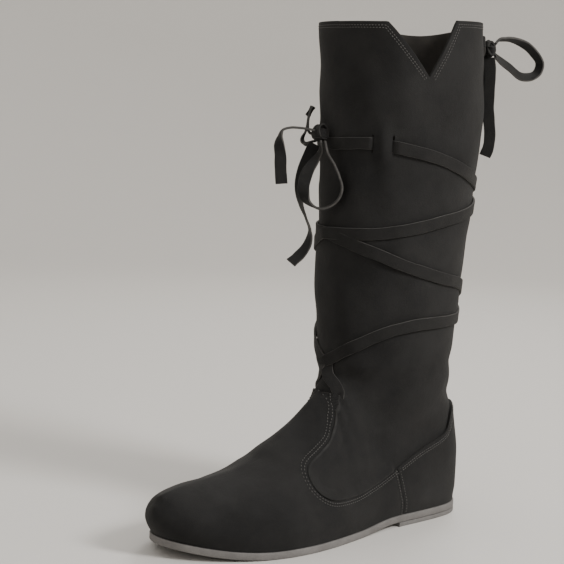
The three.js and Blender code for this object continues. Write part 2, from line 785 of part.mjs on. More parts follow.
const backLoopDown = [
  { x: -3.5, y: -1.5, z: -5.5, lay: 78, tilt: 0 },
  { x: -8, y: -4, z: -13, lay: 78, tilt: 0 },
  { x: -9.5, y: -5, z: -20, lay: 78, tilt: 0 },
  { x: -9.5, y: -6, z: -28.5, lay: 78, tilt: 0 },
  { x: -7, y: -7, z: -35.5, lay: 78, tilt: 0 },
  { x: -4, y: -7.5, z: -32.5, lay: 78, tilt: 0 },
  { x: -3, y: -7.5, z: -23.5, lay: 78, tilt: 0 },
  { x: -2, y: -6, z: -14.5, lay: 78, tilt: 0 },
  { x: -1.5, y: -3.5, z: -6.5, lay: 78, tilt: 0 },
];
const backEndOuter = [
  { x: 2, y: 2, z: -5.5, lay: 132, tilt: 0 },
  { x: 2, y: 3.5, z: -18, lay: 132, tilt: 0 },
  { x: 2.5, y: 4, z: -31, lay: 132, tilt: 0 },
  { x: 2.5, y: 4, z: -41.5, lay: 132, tilt: 0 },
  { x: 1.5, y: 4.5, z: -50.5, lay: 132, tilt: 0 },
  { x: 0.5, y: 5, z: -60, lay: 132, tilt: 0 },
  { x: 1.5, y: 5, z: -69, lay: 132, tilt: 0 },
  { x: 3.5, y: 4, z: -75, lay: 132, tilt: 0 },
];
const backEndInner = [
  { x: -4.5, y: -8.5, z: -1, lay: 95, tilt: 0 },
  { x: -7.5, y: -13.5, z: -9.5, lay: 95, tilt: 0 },
  { x: -9, y: -15.5, z: -21, lay: 95, tilt: 0 },
  { x: -9, y: -16, z: -34.5, lay: 95, tilt: 0 },
  { x: -8.5, y: -16, z: -47.5, lay: 95, tilt: 0 },
  { x: -8, y: -16, z: -60, lay: 95, tilt: 0 },
  { x: -7, y: -15.5, z: -69, lay: 95, tilt: 0 },
];
const suede = new THREE.MeshStandardMaterial({ color: 0x242322, roughness: 0.92, metalness: 0 });
const thongLeather = new THREE.MeshStandardMaterial({ color: 0x2a2829, roughness: 0.85, metalness: 0 });
const soleRubber = new THREE.MeshStandardMaterial({ color: 0x7b777a, roughness: 0.7, metalness: 0 });
const liningLeather = new THREE.MeshStandardMaterial({ color: 0x1d1b1a, roughness: 0.9, metalness: 0 });

const boot = new THREE.Group();
const panels = makePanels();
const wraps = woundThong(wrapRoute, 1, laceTurn, thongStartLift).add(woundThong(wrapRoute, -1, laceTurn, thongStartLift));
const frontKnot = makeKnot(knotTurn * degree, slitPlace + frontKnotRise, frontKnotSize);
const backKnot = makeKnot(backTurn * degree, eyeletPlace - backKnotDrop, backKnotSize);
boot.add(
  meshOf(makeOutsole(), "outsole", soleRubber),
  meshOf(makeUpper(), "upper", suede),
  meshOf(panels.vamp, "vamp", suede),
  meshOf(panels.counter, "heel_counter", suede),
  meshOf(makeInsole(), "insole", liningLeather),
  meshOf(wraps, "wrap_thongs", thongLeather),
  meshOf(woundThong(frontRoute, 1, laceTurn), "front_thong", thongLeather),
  meshOf(woundThong(backRoute, 1, backTurn), "back_lace", thongLeather),
  meshOf(frontKnot.solid, "front_knot", thongLeather),
  meshOf(backKnot.solid, "back_knot", thongLeather),
);

const bows = [
  { name: "front_loop_outer", knot: frontKnot, route: frontLoopOuter },
  { name: "front_loop_inner", knot: frontKnot, route: frontLoopInner },
  { name: "front_end_forward", knot: frontKnot, route: frontEndForward },
  { name: "front_end_long", knot: frontKnot, route: frontEndLong },
  { name: "back_loop_out", knot: backKnot, route: backLoopOut },
  { name: "back_loop_down", knot: backKnot, route: backLoopDown },
  { name: "back_end_outer", knot: backKnot, route: backEndOuter },
  { name: "back_end_inner", knot: backKnot, route: backEndInner },
];
for (const { name, knot, route } of bows) boot.add(meshOf(freeThong(knot, route), name, thongLeather));

export default boot;
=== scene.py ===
import math

import bmesh
import bpy
import numpy as np
from mathutils import Matrix, Vector
from mathutils.kdtree import KDTree


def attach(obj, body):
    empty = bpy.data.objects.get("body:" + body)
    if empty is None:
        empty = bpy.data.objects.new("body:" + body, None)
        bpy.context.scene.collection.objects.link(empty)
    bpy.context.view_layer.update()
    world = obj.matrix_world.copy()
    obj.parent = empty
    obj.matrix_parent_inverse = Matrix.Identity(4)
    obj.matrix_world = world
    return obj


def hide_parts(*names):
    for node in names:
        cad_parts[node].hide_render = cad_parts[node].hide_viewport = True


MM = 0.001
DEGREE = math.pi / 180

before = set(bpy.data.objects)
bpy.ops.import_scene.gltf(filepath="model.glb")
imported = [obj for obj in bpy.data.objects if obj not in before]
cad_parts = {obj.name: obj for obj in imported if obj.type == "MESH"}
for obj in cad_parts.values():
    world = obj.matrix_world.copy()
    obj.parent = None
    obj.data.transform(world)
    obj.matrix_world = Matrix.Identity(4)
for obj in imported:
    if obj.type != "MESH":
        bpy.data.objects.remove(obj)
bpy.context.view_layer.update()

# Main sizes, as in the part's source
HEEL_SETBACK = 28.5
TOE_REACH = 231
BALL_WIDTH = 93
HEEL_WIDTH = 58
ANKLE_HEIGHT = 114
ANKLE_FRONT = 86
ANKLE_BACK = 17.5
ANKLE_WIDTH = 82
BOOT_HEIGHT = 350.5
COLLAR_FRONT = 91
COLLAR_BACK = 28
COLLAR_WIDTH = 105.5
SOLE = 4.9
HEEL_RISE = 3.2
HEEL_BREAST = 45
ARCH_RUN = 44
TOE_SPRING = 9
WALL = 2
PANEL = 1.4
SEAT = 0.3
THROAT = 95.5
BLEND = 55
SLIT_PLACE = 268
LACE_TURN = -5
BACK_TURN = 151
EYELET_TURN = 13
EYELET_PLACE = 342
SLIT_TURNS = (33, 48.5)
THONG_WIDTH = 8.2
THONG_THICK = 1.7


SPRING_START = 0.7 * TOE_REACH
TIP_LEVEL = 22.8  # the toe's outline no longer grows above it
DOME_POWER = 2.18  # how the foot's sides close over its top
DOME_ROOT = 1.43
TUBE_POWER = 2.15  # how square the ankle and shaft are from above
BULGE = 0.04  # the foot's swell over its sole, reached at BULGE_HEIGHT
BULGE_HEIGHT = 13
JOIN_WIDTH = 13  # how softly foot and shaft run together
HEEL_ROUND = 0.12  # shares of the foot's length in the round of heel and toe
TOE_ROUND = 0.28
OUTER_TOE_POWER = 1.62
INNER_TOE_POWER = 2


def smooth(share):
    share = np.clip(share, 0, 1)
    return share * share * (3 - 2 * share)


def unit(vectors):
    size = np.linalg.norm(vectors, axis=-1, keepdims=True)
    return vectors / np.maximum(size, 1e-9)


class Curve:
    """A monotone cubic through a short table."""

    def __init__(self, at, values):
        self.at = np.asarray(at, float)
        self.values = np.asarray(values, float)
        steps = np.diff(self.values) / np.diff(self.at)
        self.slopes = np.zeros(len(self.at))
        self.slopes[0] = steps[0]
        self.slopes[-1] = steps[-1]
        for i in range(1, len(steps)):
            product = steps[i - 1] * steps[i]
            if product > 0:
                self.slopes[i] = 2 * product / (steps[i - 1] + steps[i])

    def __call__(self, at):
        at = np.clip(at, self.at[0], self.at[-1])
        i = np.clip(np.searchsorted(self.at, at, side="right") - 1, 0, len(self.at) - 2)
        wide = self.at[i + 1] - self.at[i]
        rise = self.values[i + 1] - self.values[i]
        share = (at - self.at[i]) / wide
        bend = (1 - share) * (self.slopes[i] * wide - rise) - share * (self.slopes[i + 1] * wide - rise)
        return self.values[i] + share * rise + share * (1 - share) * bend


# The foot, by height up to the ankle
FOOT_UP = [0, 0.06, 0.12, 0.2, 0.26, 0.32, 0.36, 0.41, 0.46, 0.53, 0.6, 0.68, 0.76, 0.84, 0.92, 1]
RIDGE_SHARES = [0.97, 0.985, 0.995, 1, 0.988, 0.978, 0.88, 0.734, 0.668, 0.616, 0.561, 0.498]
RIDGE_SHARES += [0.448, 0.401, 0.395]
HEEL_SHARES = [1.057, 1.077, 1.108, 1.125, 1.128, 1.118, 1.112, 1.103, 1.086, 1.043, 0.97, 0.865]
HEEL_SHARES += [0.763, 0.723, 0.681]
FRONT_SHARES = [0.79, 0.8, 0.81, 0.83, 0.84, 0.85, 0.86, 0.87, 0.88, 0.9, 0.92, 0.94, 0.96, 0.975, 0.99, 1]
WIDE_SHARES = [0.4, 0.43, 0.47, 0.51, 0.54, 0.57, 0.6, 0.62, 0.65, 0.69, 0.74, 0.8, 0.86, 0.92, 0.965, 1]
RIDGE = Curve(FOOT_UP, RIDGE_SHARES + [ANKLE_FRONT / TOE_REACH])
HEEL_LINE = Curve(FOOT_UP, HEEL_SHARES + [ANKLE_BACK / HEEL_SETBACK])
TUBE_FRONT = Curve(FOOT_UP, FRONT_SHARES)
TUBE_WIDE = Curve(FOOT_UP, WIDE_SHARES)

# The shaft, from the ankle up to the collar
SHAFT_UP = [0, 0.13, 0.28, 0.47, 0.66, 0.81, 1]
SHAFT_FRONT = Curve(SHAFT_UP, [0, 0.1, 0.27, 0.11, -0.16, 0.13, 1])
SHAFT_BACK = Curve(SHAFT_UP, [0, 0.2, 0.48, 0.87, 1.34, 1.36, 1])
SHAFT_SPREAD = Curve(SHAFT_UP, [0, 0.2, 0.41, 0.66, 0.86, 0.96, 1])

# The outline of the foot from above, as shares of half the ball's width
OUTLINE_ALONG = [0.12, 0.2, 0.3, 0.4, 0.5, 0.6, 0.66, 0.72]
OUTLINE_OUTER = Curve(OUTLINE_ALONG, [HEEL_WIDTH / BALL_WIDTH, 0.67, 0.69, 0.76, 0.89, 1.0, 1.03, 1.02])
OUTLINE_INNER = Curve(OUTLINE_ALONG, [HEEL_WIDTH / BALL_WIDTH, 0.66, 0.6, 0.54, 0.56, 0.72, 0.9, 0.97])

RIDGE_UPS = np.linspace(0.2, 1, 240)
RIDGE_REACH = RIDGE(RIDGE_UPS)


def shaft_share(level):
    return np.clip((level - ANKLE_HEIGHT) / (BOOT_HEIGHT - ANKLE_HEIGHT), 0, 1)


def front_at(level):
    above = ANKLE_FRONT + (COLLAR_FRONT - ANKLE_FRONT) * SHAFT_FRONT(shaft_share(level))
    return np.where(level < ANKLE_HEIGHT, TOE_REACH * RIDGE(level / ANKLE_HEIGHT), above)


def back_at(level):
    above = ANKLE_BACK + (COLLAR_BACK - ANKLE_BACK) * SHAFT_BACK(shaft_share(level))
    return -np.where(level < ANKLE_HEIGHT, HEEL_SETBACK * HEEL_LINE(level / ANKLE_HEIGHT), above)


def sole_top(x):
    heel = HEEL_RISE * (1 - smooth((x - HEEL_BREAST) / ARCH_RUN))
    spring = np.maximum((x - SPRING_START) / (TOE_REACH - SPRING_START), 0) ** 2
    return SOLE + heel + TOE_SPRING * spring


def outline_half(along, outer):
    body = np.where(outer, OUTLINE_OUTER(along), OUTLINE_INNER(along))
    heel = np.sqrt(1 - np.clip((HEEL_ROUND - along) / HEEL_ROUND, 0, 1) ** 2)
    power = np.where(outer, OUTER_TOE_POWER, INNER_TOE_POWER)
    toe = (1 - np.clip((along - 1 + TOE_ROUND) / TOE_ROUND, 0, 1) ** power) ** (1 / power)
    return BALL_WIDTH / 2 * body * heel * toe


def half_width(x, level, outer):
    """Half the boot's width at a place along it, at a level."""
    back = back_at(level)
    tip = np.where(level < TIP_LEVEL, front_at(level), TOE_REACH)
    ridge_height = np.interp(x / TOE_REACH, RIDGE_REACH[::-1], RIDGE_UPS[::-1]) * ANKLE_HEIGHT
    dome = np.clip(1 - (np.maximum(level, 0) / ridge_height) ** DOME_POWER, 0, 1) ** (1 / DOME_ROOT)
    foot = outline_half((x - back) / (tip - back), outer) * dome * (1 + BULGE * smooth(level / BULGE_HEIGHT))
    low = level < ANKLE_HEIGHT
    tube_front = np.where(low, ANKLE_FRONT * TUBE_FRONT(level / ANKLE_HEIGHT), front_at(level))
    spread = ANKLE_WIDTH + (COLLAR_WIDTH - ANKLE_WIDTH) * SHAFT_SPREAD(shaft_share(level))
    tube_half = np.where(low, ANKLE_WIDTH / 2 * TUBE_WIDE(level / ANKLE_HEIGHT), spread / 2)
    off = np.abs(x - (tube_front + back) / 2) / ((tube_front - back) / 2)
    tube = tube_half * np.clip(1 - off**TUBE_POWER, 0, 1) ** (1 / TUBE_POWER)
    widest = np.maximum(foot, tube)
    soft = np.maximum(np.minimum(JOIN_WIDTH, widest / 2), 1e-6)
    near = np.clip(1 - np.abs(foot - tube) / soft, 0, 1)
    return np.where(widest > 0, widest + soft * near**2 / 4, 0)


def base_point(turn, level):
    """The skin at a turn, in degrees from the front towards the outer side, and a level."""
    turn, level = np.broadcast_arrays(np.asarray(turn, float), np.asarray(level, float))
    front, back = front_at(level), back_at(level)
    x = (front + back) / 2 + (front - back) / 2 * np.cos(turn * DEGREE)
    y = np.zeros_like(x)
    for step, share in ((-8, 0.25), (0, 0.5), (8, 0.25)):
        a = (turn + step) * DEGREE
        at = (front + back) / 2 + (front - back) / 2 * np.cos(a)
        outer = np.sin(a) > 0
        y = y + share * np.where(outer, 1, -1) * half_width(at, level, outer)
    base = sole_top(x) + SEAT
    z = level + base * np.clip(1 - level / BLEND, 0, 1)
    return np.stack([x, y, z], axis=-1)


def skin_normal(turn, level):
    level = np.asarray(level, float)
    low = np.maximum(level - 0.8, 0)
    around = base_point(turn + 1, level) - base_point(turn - 1, level)
    upward = base_point(turn, low + 1.6) - base_point(turn, low)
    normal = unit(np.cross(around, upward))
    normal[..., 2] *= smooth(np.broadcast_to(level, normal.shape[:-1]) / BULGE_HEIGHT)
    return unit(normal)


def turn_at(x, level, side):
    """The turn at which the skin is at x, on the outer (1) or inner (-1) side."""
    front, back = front_at(level), back_at(level)
    share = np.clip((x - (front + back) / 2) / ((front - back) / 2), -1, 1)
    return side * np.arccos(share) / DEGREE


def level_of(x, z):
    base = sole_top(x) + SEAT
    return np.where(z < BLEND, (z - base) / (1 - base / BLEND), z)


# The thongs' way round the shaft: turn from the lacing's middle, and share of the way up to the slits
WRAP = [
    (-22.5, 0.034), (-20, 0.047), (-12, 0.078), (-5, 0.099), (0, 0.113), (10.5, 0.14), (23, 0.175),
    (35.5, 0.206), (50, 0.241), (64.5, 0.268), (88.5, 0.287), (112, 0.289), (134.5, 0.291), (180, 0.351),
    (224.5, 0.434), (256.5, 0.467), (277, 0.496), (296.5, 0.528), (314.5, 0.564), (326, 0.582),
    (337.5, 0.601), (348, 0.618),
    (360, 0.635), (378.5, 0.638), (391.5, 0.641), (404, 0.646), (421, 0.66), (438, 0.677), (457, 0.701),
    (485.5, 0.728), (540, 0.803), (592, 0.87), (609, 0.899), (622.5, 0.924), (636.5, 0.947), (649, 0.964),
    (660, 0.976),
]
WRAP_SEAT = 0.92  # from the skin to the thong's middle
# Rows with the lift from the skin: from under the throat's edge, and into the slit
WRAP_IN = [(-26, -0.012, -1.6), (-24, 0.014, 0.3)]
WRAP_OUT = [(667.5, 0.984, 1.2), (671.5, 0.987, -1.0), (675.5, 0.99, -3.6), (681, 0.993, -3.8)]
CROSSINGS = (0, 180, 360, 540)
CROSS_LIFT = 1.9
CROSS_REACH = 7


def wrap_level(up):
    return THROAT + (SLIT_PLACE - THROAT) * up


def wrap_rows(side):
    rows = WRAP_IN + [(turn, up, WRAP_SEAT) for turn, up in WRAP] + WRAP_OUT
    return [(LACE_TURN + side * turn, wrap_level(up), lift) for turn, up, lift in rows]


def follow(rows, step=1.5):
    """Dense turns, levels and lifts along a route given by a few rows."""
    table = np.array(rows, float)
    places = base_point(table[:, 0], table[:, 1])
    steps = np.hypot(np.linalg.norm(np.diff(places, axis=0), axis=1), np.diff(table[:, 2]))
    away = np.concatenate([[0], np.cumsum(steps)])
    at = np.linspace(0, away[-1], int(away[-1] / step) + 2)
    return [Curve(away, table[:, k])(at) for k in range(3)]


WRAP_LINES = {side: follow(wrap_rows(side)) for side in (1, -1)}
WRAP_PLACES = np.concatenate([base_point(turn, level) for turn, level, _ in WRAP_LINES.values()])

# Creases, listed: side (0 both), depth, half width, then places (turn, level) along each
CREASES = [
    (0, 1.0, 7.0, [(0, 109), (35, 105), (70, 103), (104, 112)]),
    (0, 0.8, 7.5, [(10, 131), (45, 124), (85, 122), (122, 133)]),
    (1, 0.7, 8.0, [(48, 150), (80, 141), (110, 146)]),
    (-1, 0.7, 7.0, [(30, 147), (66, 141), (96, 148)]),
    (0, 0.9, 5.5, [(180, 93), (148, 90), (122, 97)]),
    (0, 0.8, 6.5, [(180, 112), (150, 113), (118, 122)]),
    (1, 0.6, 8.0, [(70, 188), (100, 180), (140, 186)]),
    (-1, 0.7, 9.0, [(40, 196), (75, 188), (120, 192)]),
    (1, 0.7, 9.0, [(20, 226), (52, 216), (92, 222)]),
    (1, 0.8, 5.0, [(35, 259), (33, 249), (27, 238)]),
    (-1, 0.8, 5.0, [(45, 259), (43, 248), (38, 236)]),
    (1, 0.5, 9.0, [(60, 286), (90, 280), (120, 288)]),
    (-1, 0.6, 9.0, [(70, 292), (105, 286), (140, 290)]),
    (0, 0.7, 7.0, [(62, 66), (84, 60), (106, 63)]),
    (0, 0.6, 6.0, [(74, 22), (52, 42), (22, 54), (0, 57)]),
    (0, 0.5, 5.0, [(66, 20), (46, 36), (20, 47), (0, 49)]),
]
STRIPS = [(35.75, 2.5), (-45.75, 2.5)]  # turns of the strips between slits, and how far they stand out
PINCH = 0.35
TOE_CORNER = (227, -2, 42)  # where the ridge turns down over the toe
TOE_ROUNDING = 2.4
TOE_REACH_ROUND = 13
WAVES = 9
WAVE_SIZE = 0.75


def wave_table():
    source = np.random.default_rng(7)
    heading = unit(source.normal(size=(WAVES, 3)))
    length = source.uniform(26, 72, WAVES)
    return heading * (2 * math.pi / length)[:, None], source.uniform(0, 2 * math.pi, WAVES)


WAVE_VECTORS, WAVE_STARTS = wave_table()


def nearest(points, places):
    tree = KDTree(len(places))
    for i, place in enumerate(places):
        tree.insert(place, i)
    tree.balance()
    found = [tree.find(point)[1:] for point in points]
    return np.array([way for _, way in found]), np.array([i for i, _ in found])


def fold(points, places, depth, wide, fade=True):
    """A furrow along places, with a soft ridge on each side."""
    result = np.zeros(len(points))
    reach = wide * 4.5
    low, high = places.min(axis=0) - reach, places.max(axis=0) + reach
    near = np.nonzero(((points > low) & (points < high)).all(axis=1))[0]
    if len(near) == 0:
        return result
    away, index = nearest(points[near], places)
    share = index / (len(places) - 1)
    strength = depth * (np.clip(np.sin(math.pi * share), 0, 1) ** 0.7 if fade else 1)
    furrow = np.exp(-((away / wide) ** 2))
    ridge = 0.42 * np.exp(-(((away - 2 * wide) / (1.1 * wide)) ** 2))
    result[near] = strength * (ridge - furrow)
    return result


def crease_places(points, side):
    table = np.array(points, float)
    at = np.linspace(0, len(table) - 1, 40)
    turn = np.interp(at, range(len(table)), table[:, 0])
    level = Curve(range(len(table)), table[:, 1])(at)
    return base_point(side * turn, level)


def slow_waves(points):
    """The suede's slow rise and fall, less over the foot."""
    waves = np.sin(points @ WAVE_VECTORS.T + WAVE_STARTS).sum(axis=-1) / math.sqrt(WAVES)
    return WAVE_SIZE * waves * (0.35 + 0.65 * smooth((points[..., 2] - 40) / 80))


def relief(turn, level, points):
    """How far the suede stands off its even form: creases, dents under thongs and slow waves."""
    flat = points.reshape(-1, 3)
    result = slow_waves(flat)
    for side, depth, wide, table in CREASES:
        for way in (1, -1) if side == 0 else (side,):
            result += fold(flat, crease_places(table, way), depth, wide)
    result += fold(flat, WRAP_PLACES, PINCH, 5.2, fade=False)
    corner = np.linalg.norm(flat - np.array(TOE_CORNER), axis=1) / TOE_REACH_ROUND
    result -= TOE_ROUNDING * np.exp(-(corner**2))
    result = result.reshape(points.shape[:-1])
    for place, size in STRIPS:
        away = ((turn - place + 180) % 360 - 180) / 5.2
        up = (level - SLIT_PLACE) / 10.5
        result = result + size * np.exp(-(away**2) - up**2)
    return result * smooth(level / 10)


def skin(turn, level, lift, ruffled=True):
    """Places standing off the skin by lift, over its relief."""
    given = [np.asarray(value, float) for value in (turn, level, lift)]
    turn, level, lift = np.broadcast_arrays(*given)
    place = base_point(turn, level)
    off = lift + relief(turn, level, place) if ruffled else lift
    moved = place + skin_normal(turn, level) * off[..., None]
    moved[..., 2] += (sole_top(moved[..., 0]) - sole_top(place[..., 0])) * np.clip(1 - level / BLEND, 0, 1)
    return moved


# Meshes
def link(name, mesh, *materials):
    for material in materials:
        mesh.materials.append(material)
    piece = bpy.data.objects.new(name, mesh)
    bpy.context.scene.collection.objects.link(piece)
    return piece


def dress(piece, node_name):
    """The piece stands in for a node of the model: it hangs from the root and the model's part is hidden."""
    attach(piece, "root")
    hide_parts(node_name)


def soften(mesh, angle=38):
    mesh.shade_smooth()
    mesh.set_sharp_from_angle(angle=angle * DEGREE)


def mesh_of(name, points, faces):
    mesh = bpy.data.meshes.new(name)
    mesh.from_pydata((np.asarray(points) * MM).tolist(), [], faces)
    mesh.update()
    return mesh


def face_outwards(mesh):
    tidy = bmesh.new()
    tidy.from_mesh(mesh)
    bmesh.ops.recalc_face_normals(tidy, faces=tidy.faces)
    tidy.to_mesh(mesh)
    tidy.free()


def shade(mesh, name, values):
    layer = mesh.attributes.new(name, "FLOAT", "POINT")
    layer.data.foreach_set("value", np.asarray(values, dtype=np.float32))


def loop_faces(rows, columns, closed_rows=True):
    last = rows if closed_rows else rows - 1
    faces = []
    for i in range(last):
        for j in range(columns):
            a, b = i * columns + j, i * columns + (j + 1) % columns
            c, d = (i + 1) % rows * columns + (j + 1) % columns, (i + 1) % rows * columns + j
            faces.append((a, b, c, d))
    return faces


def shell(name, turns, rows):
    """A closed wall from rows of (levels, lifts) round the boot, each a loop."""
    points = [skin(turns, levels, lifts) for levels, lifts in rows]
    return mesh_of(name, np.concatenate(points), loop_faces(len(rows), len(turns)))


def side_prism(name, outline, low, high):
    """A prism over a side view outline (forward, up), from y low to high."""
    count = len(outline)
    points = [(x, low, z) for x, z in outline] + [(x, high, z) for x, z in outline]
    faces = [tuple(range(count)), tuple(range(2 * count - 1, count - 1, -1))]
    for i in range(count):
        j = (i + 1) % count
        faces.append((i, i + count, j + count, j))
    mesh = mesh_of(name, points, faces)
    face_outwards(mesh)
    return mesh


def cut(piece, cutter_mesh, operation):
    cutter = link("cutter", cutter_mesh)
    modifier = piece.modifiers.new("cut", "BOOLEAN")
    modifier.operation = operation
    modifier.solver = "MANIFOLD"
    modifier.object = cutter
    bpy.context.view_layer.update()
    graph = bpy.context.evaluated_depsgraph_get()
    result = bpy.data.meshes.new_from_object(piece.evaluated_get(graph))
    piece.modifiers.clear()
    piece.data = result
    bpy.data.objects.remove(cutter)
    soften(result)


def spline(points, per=10):
    """A centripetal curve through points."""
    points = np.array(points, float)
    first = 2 * points[0] - points[1]
    last = 2 * points[-1] - points[-2]
    p = np.concatenate([[first], points, [last]])
    result = []
    for i in range(1, len(p) - 2):
        before, here, after, beyond = p[i - 1 : i + 3]
        a, b, c = (math.sqrt(np.linalg.norm(step)) for step in (here - before, after - here, beyond - after))
        leave = ((here - before) / a - (after - before) / (a + b) + (after - here) / b) * b
        arrive = ((after - here) / b - (beyond - here) / (b + c) + (beyond - after) / c) * b
        square = -3 * here + 3 * after - 2 * leave - arrive
        cube = 2 * here - 2 * after + leave + arrive
        for t in np.linspace(0, 1, per, endpoint=False):
            result.append(here + leave * t + square * t**2 + cube * t**3)
    result.append(points[-1])
    return np.array(result)


# The thong's section: across and through, as shares of half its width and thickness
SECTION = [
    (-1, 0), (-0.985, 0.6), (-0.93, 0.95), (-0.6, 1), (0, 0.9), (0.6, 1), (0.93, 0.95), (0.985, 0.6),
    (1, 0), (0.985, -0.6), (0.93, -0.95), (0.6, -1), (0, -0.9), (-0.6, -1), (-0.93, -0.95), (-0.985, -0.6),
]


def band_mesh(name, lines, closed=False, wide=THONG_WIDTH, pale=1.0):
    """Flat thongs along lines, each (middles, ways across, ways it faces)."""
    section = np.array(SECTION)
    count = len(section)
    points, faces, raw_edge_and_highlight = [], [], []
    start = 0
    for index, (middle, across, face) in enumerate(lines):
        steps = np.arange(len(middle))
        breathe = 1 + 0.035 * np.sin(steps * 0.31 + index) * np.sin(steps * 0.13 + 2 * index)
        half = wide / 2 * breathe
        rings = (
            middle[:, None]
            + across[:, None] * (section[:, 0] * half[:, None])[..., None]
            + face[:, None] * (section[:, 1] * THONG_THICK / 2)[None, :, None]
        )
        points.append(rings.reshape(-1, 3))
        raw_edge_and_highlight.extend(np.tile(smooth((np.abs(section[:, 0]) - 0.93) / 0.05), len(middle)))
        rows = len(middle)
        for a, b, c, d in loop_faces(rows, count, closed):
            faces.append((start + a, start + b, start + c, start + d))
        if not closed:
            faces.append(tuple(start + k for k in range(count - 1, -1, -1)))
            faces.append(tuple(start + (rows - 1) * count + k for k in range(count)))
        start += rows * count
    mesh = mesh_of(name, np.concatenate(points), faces)
    face_outwards(mesh)
    shade(mesh, "raw_edge_and_highlight", np.array(raw_edge_and_highlight) * pale)
    soften(mesh, 50)
    return mesh


def skin_line(turn, level, lift):
    """Middles, ways across and ways it faces of a thong lying on the skin."""
    middle = skin(turn, level, lift + slow_waves(base_point(turn, level)), ruffled=False)
    along = unit(np.gradient(middle, axis=0))
    across = unit(np.cross(along, skin_normal(turn, level)))
    return middle, across, unit(np.cross(across, along))


# Materials
def node(tree, kind, **inputs):
    made = tree.nodes.new(kind)
    for name, value in inputs.items():
        made.inputs[name.replace("_", " ")].default_value = value
    return made


def ramp(tree, factor, stops):
    made = tree.nodes.new("ShaderNodeValToRGB")
    made.color_ramp.elements[0].position, made.color_ramp.elements[0].color = stops[0][0], (*stops[0][1], 1)
    made.color_ramp.elements[1].position, made.color_ramp.elements[1].color = stops[1][0], (*stops[1][1], 1)
    tree.links.new(factor, made.inputs["Fac"])
    return made.outputs["Color"]


def blend_colour(tree, factor, first, second):
    """From a linked colour to a fixed one, by a linked share."""
    made = tree.nodes.new("ShaderNodeMix")
    made.data_type = "RGBA"
    tree.links.new(factor, made.inputs["Factor"])
    tree.links.new(first, made.inputs["A"])
    made.inputs["B"].default_value = (*second, 1)
    return made.outputs["Result"]


def soft_material(name, dark, light, wear_and_highlight, rough, nap, grain, sheen, patch=38.0):
    """Napped leather: cloudy colour, fine fibre and grain bumps, and paler edges, from raw cuts and, on the
    shaft's seam edge, a painted highlight.
    """
    material = bpy.data.materials.new(name)
    material.use_nodes = True
    tree = material.node_tree
    shader = tree.nodes["Principled BSDF"]
    place = tree.nodes.new("ShaderNodeTexCoord").outputs["Object"]
    cloud = node(tree, "ShaderNodeTexNoise", Scale=patch, Detail=5.0, Roughness=0.62)
    fibre = node(tree, "ShaderNodeTexNoise", Scale=1900.0, Detail=3.0, Roughness=0.7)
    brush = node(tree, "ShaderNodeTexNoise", Scale=260.0, Detail=4.0, Roughness=0.6)
    pore = node(tree, "ShaderNodeTexVoronoi", Scale=900.0)
    for texture in (cloud, fibre, brush, pore):
        tree.links.new(place, texture.inputs["Vector"])
    colour = ramp(tree, cloud.outputs["Fac"], [(0.3, dark), (0.72, light)])
    speck = ramp(tree, fibre.outputs["Fac"], [(0.35, dark), (0.75, light)])
    speckle = tree.nodes.new("ShaderNodeMix")
    speckle.data_type = "RGBA"
    speckle.inputs["Factor"].default_value = 0.35
    tree.links.new(colour, speckle.inputs["A"])
    tree.links.new(speck, speckle.inputs["B"])
    # A float attribute on the mesh pales the colour towards the edge colour: raw cut edges on the thongs, and
    # a painted highlight along the shaft's seam edge
    edge = tree.nodes.new("ShaderNodeAttribute")
    edge.attribute_name = "raw_edge_and_highlight"
    scuff_and_highlight = tree.nodes.new("ShaderNodeMath")
    scuff_and_highlight.operation = "MULTIPLY"
    tree.links.new(edge.outputs["Fac"], scuff_and_highlight.inputs[0])
    tree.links.new(brush.outputs["Fac"], scuff_and_highlight.inputs[1])
    # The paler edge colour: the raw edges' own tone, and on the seam edge a painted highlight
    wear_and_highlight_colour = blend_colour(tree, scuff_and_highlight.outputs[0], speckle.outputs["Result"], wear_and_highlight)
    tree.links.new(wear_and_highlight_colour, shader.inputs["Base Color"])
    shader.inputs["Roughness"].default_value = rough
    shader.inputs["Specular IOR Level"].default_value = 0.22
    shader.inputs["Sheen Weight"].default_value = sheen
    shader.inputs["Sheen Roughness"].default_value = 0.5
    shader.inputs["Sheen Tint"].default_value = (0.9, 0.86, 0.8, 1)
    first = node(tree, "ShaderNodeBump", Strength=nap, Distance=0.00025)
    second = node(tree, "ShaderNodeBump", Strength=grain, Distance=0.0006)
    third = node(tree, "ShaderNodeBump", Strength=grain * 0.5, Distance=0.0002)
    tree.links.new(fibre.outputs["Fac"], first.inputs["Height"])
    tree.links.new(brush.outputs["Fac"], second.inputs["Height"])
    tree.links.new(pore.outputs["Distance"], third.inputs["Height"])
    tree.links.new(first.outputs["Normal"], second.inputs["Normal"])
    tree.links.new(second.outputs["Normal"], third.inputs["Normal"])
    tree.links.new(third.outputs["Normal"], shader.inputs["Normal"])
    return material


def plain_material(name, colour, rough):
    material = bpy.data.materials.new(name)
    material.use_nodes = True
    shader = material.node_tree.nodes["Principled BSDF"]
    shader.inputs["Base Color"].default_value = (*colour, 1)
    shader.inputs["Roughness"].default_value = rough
    return material


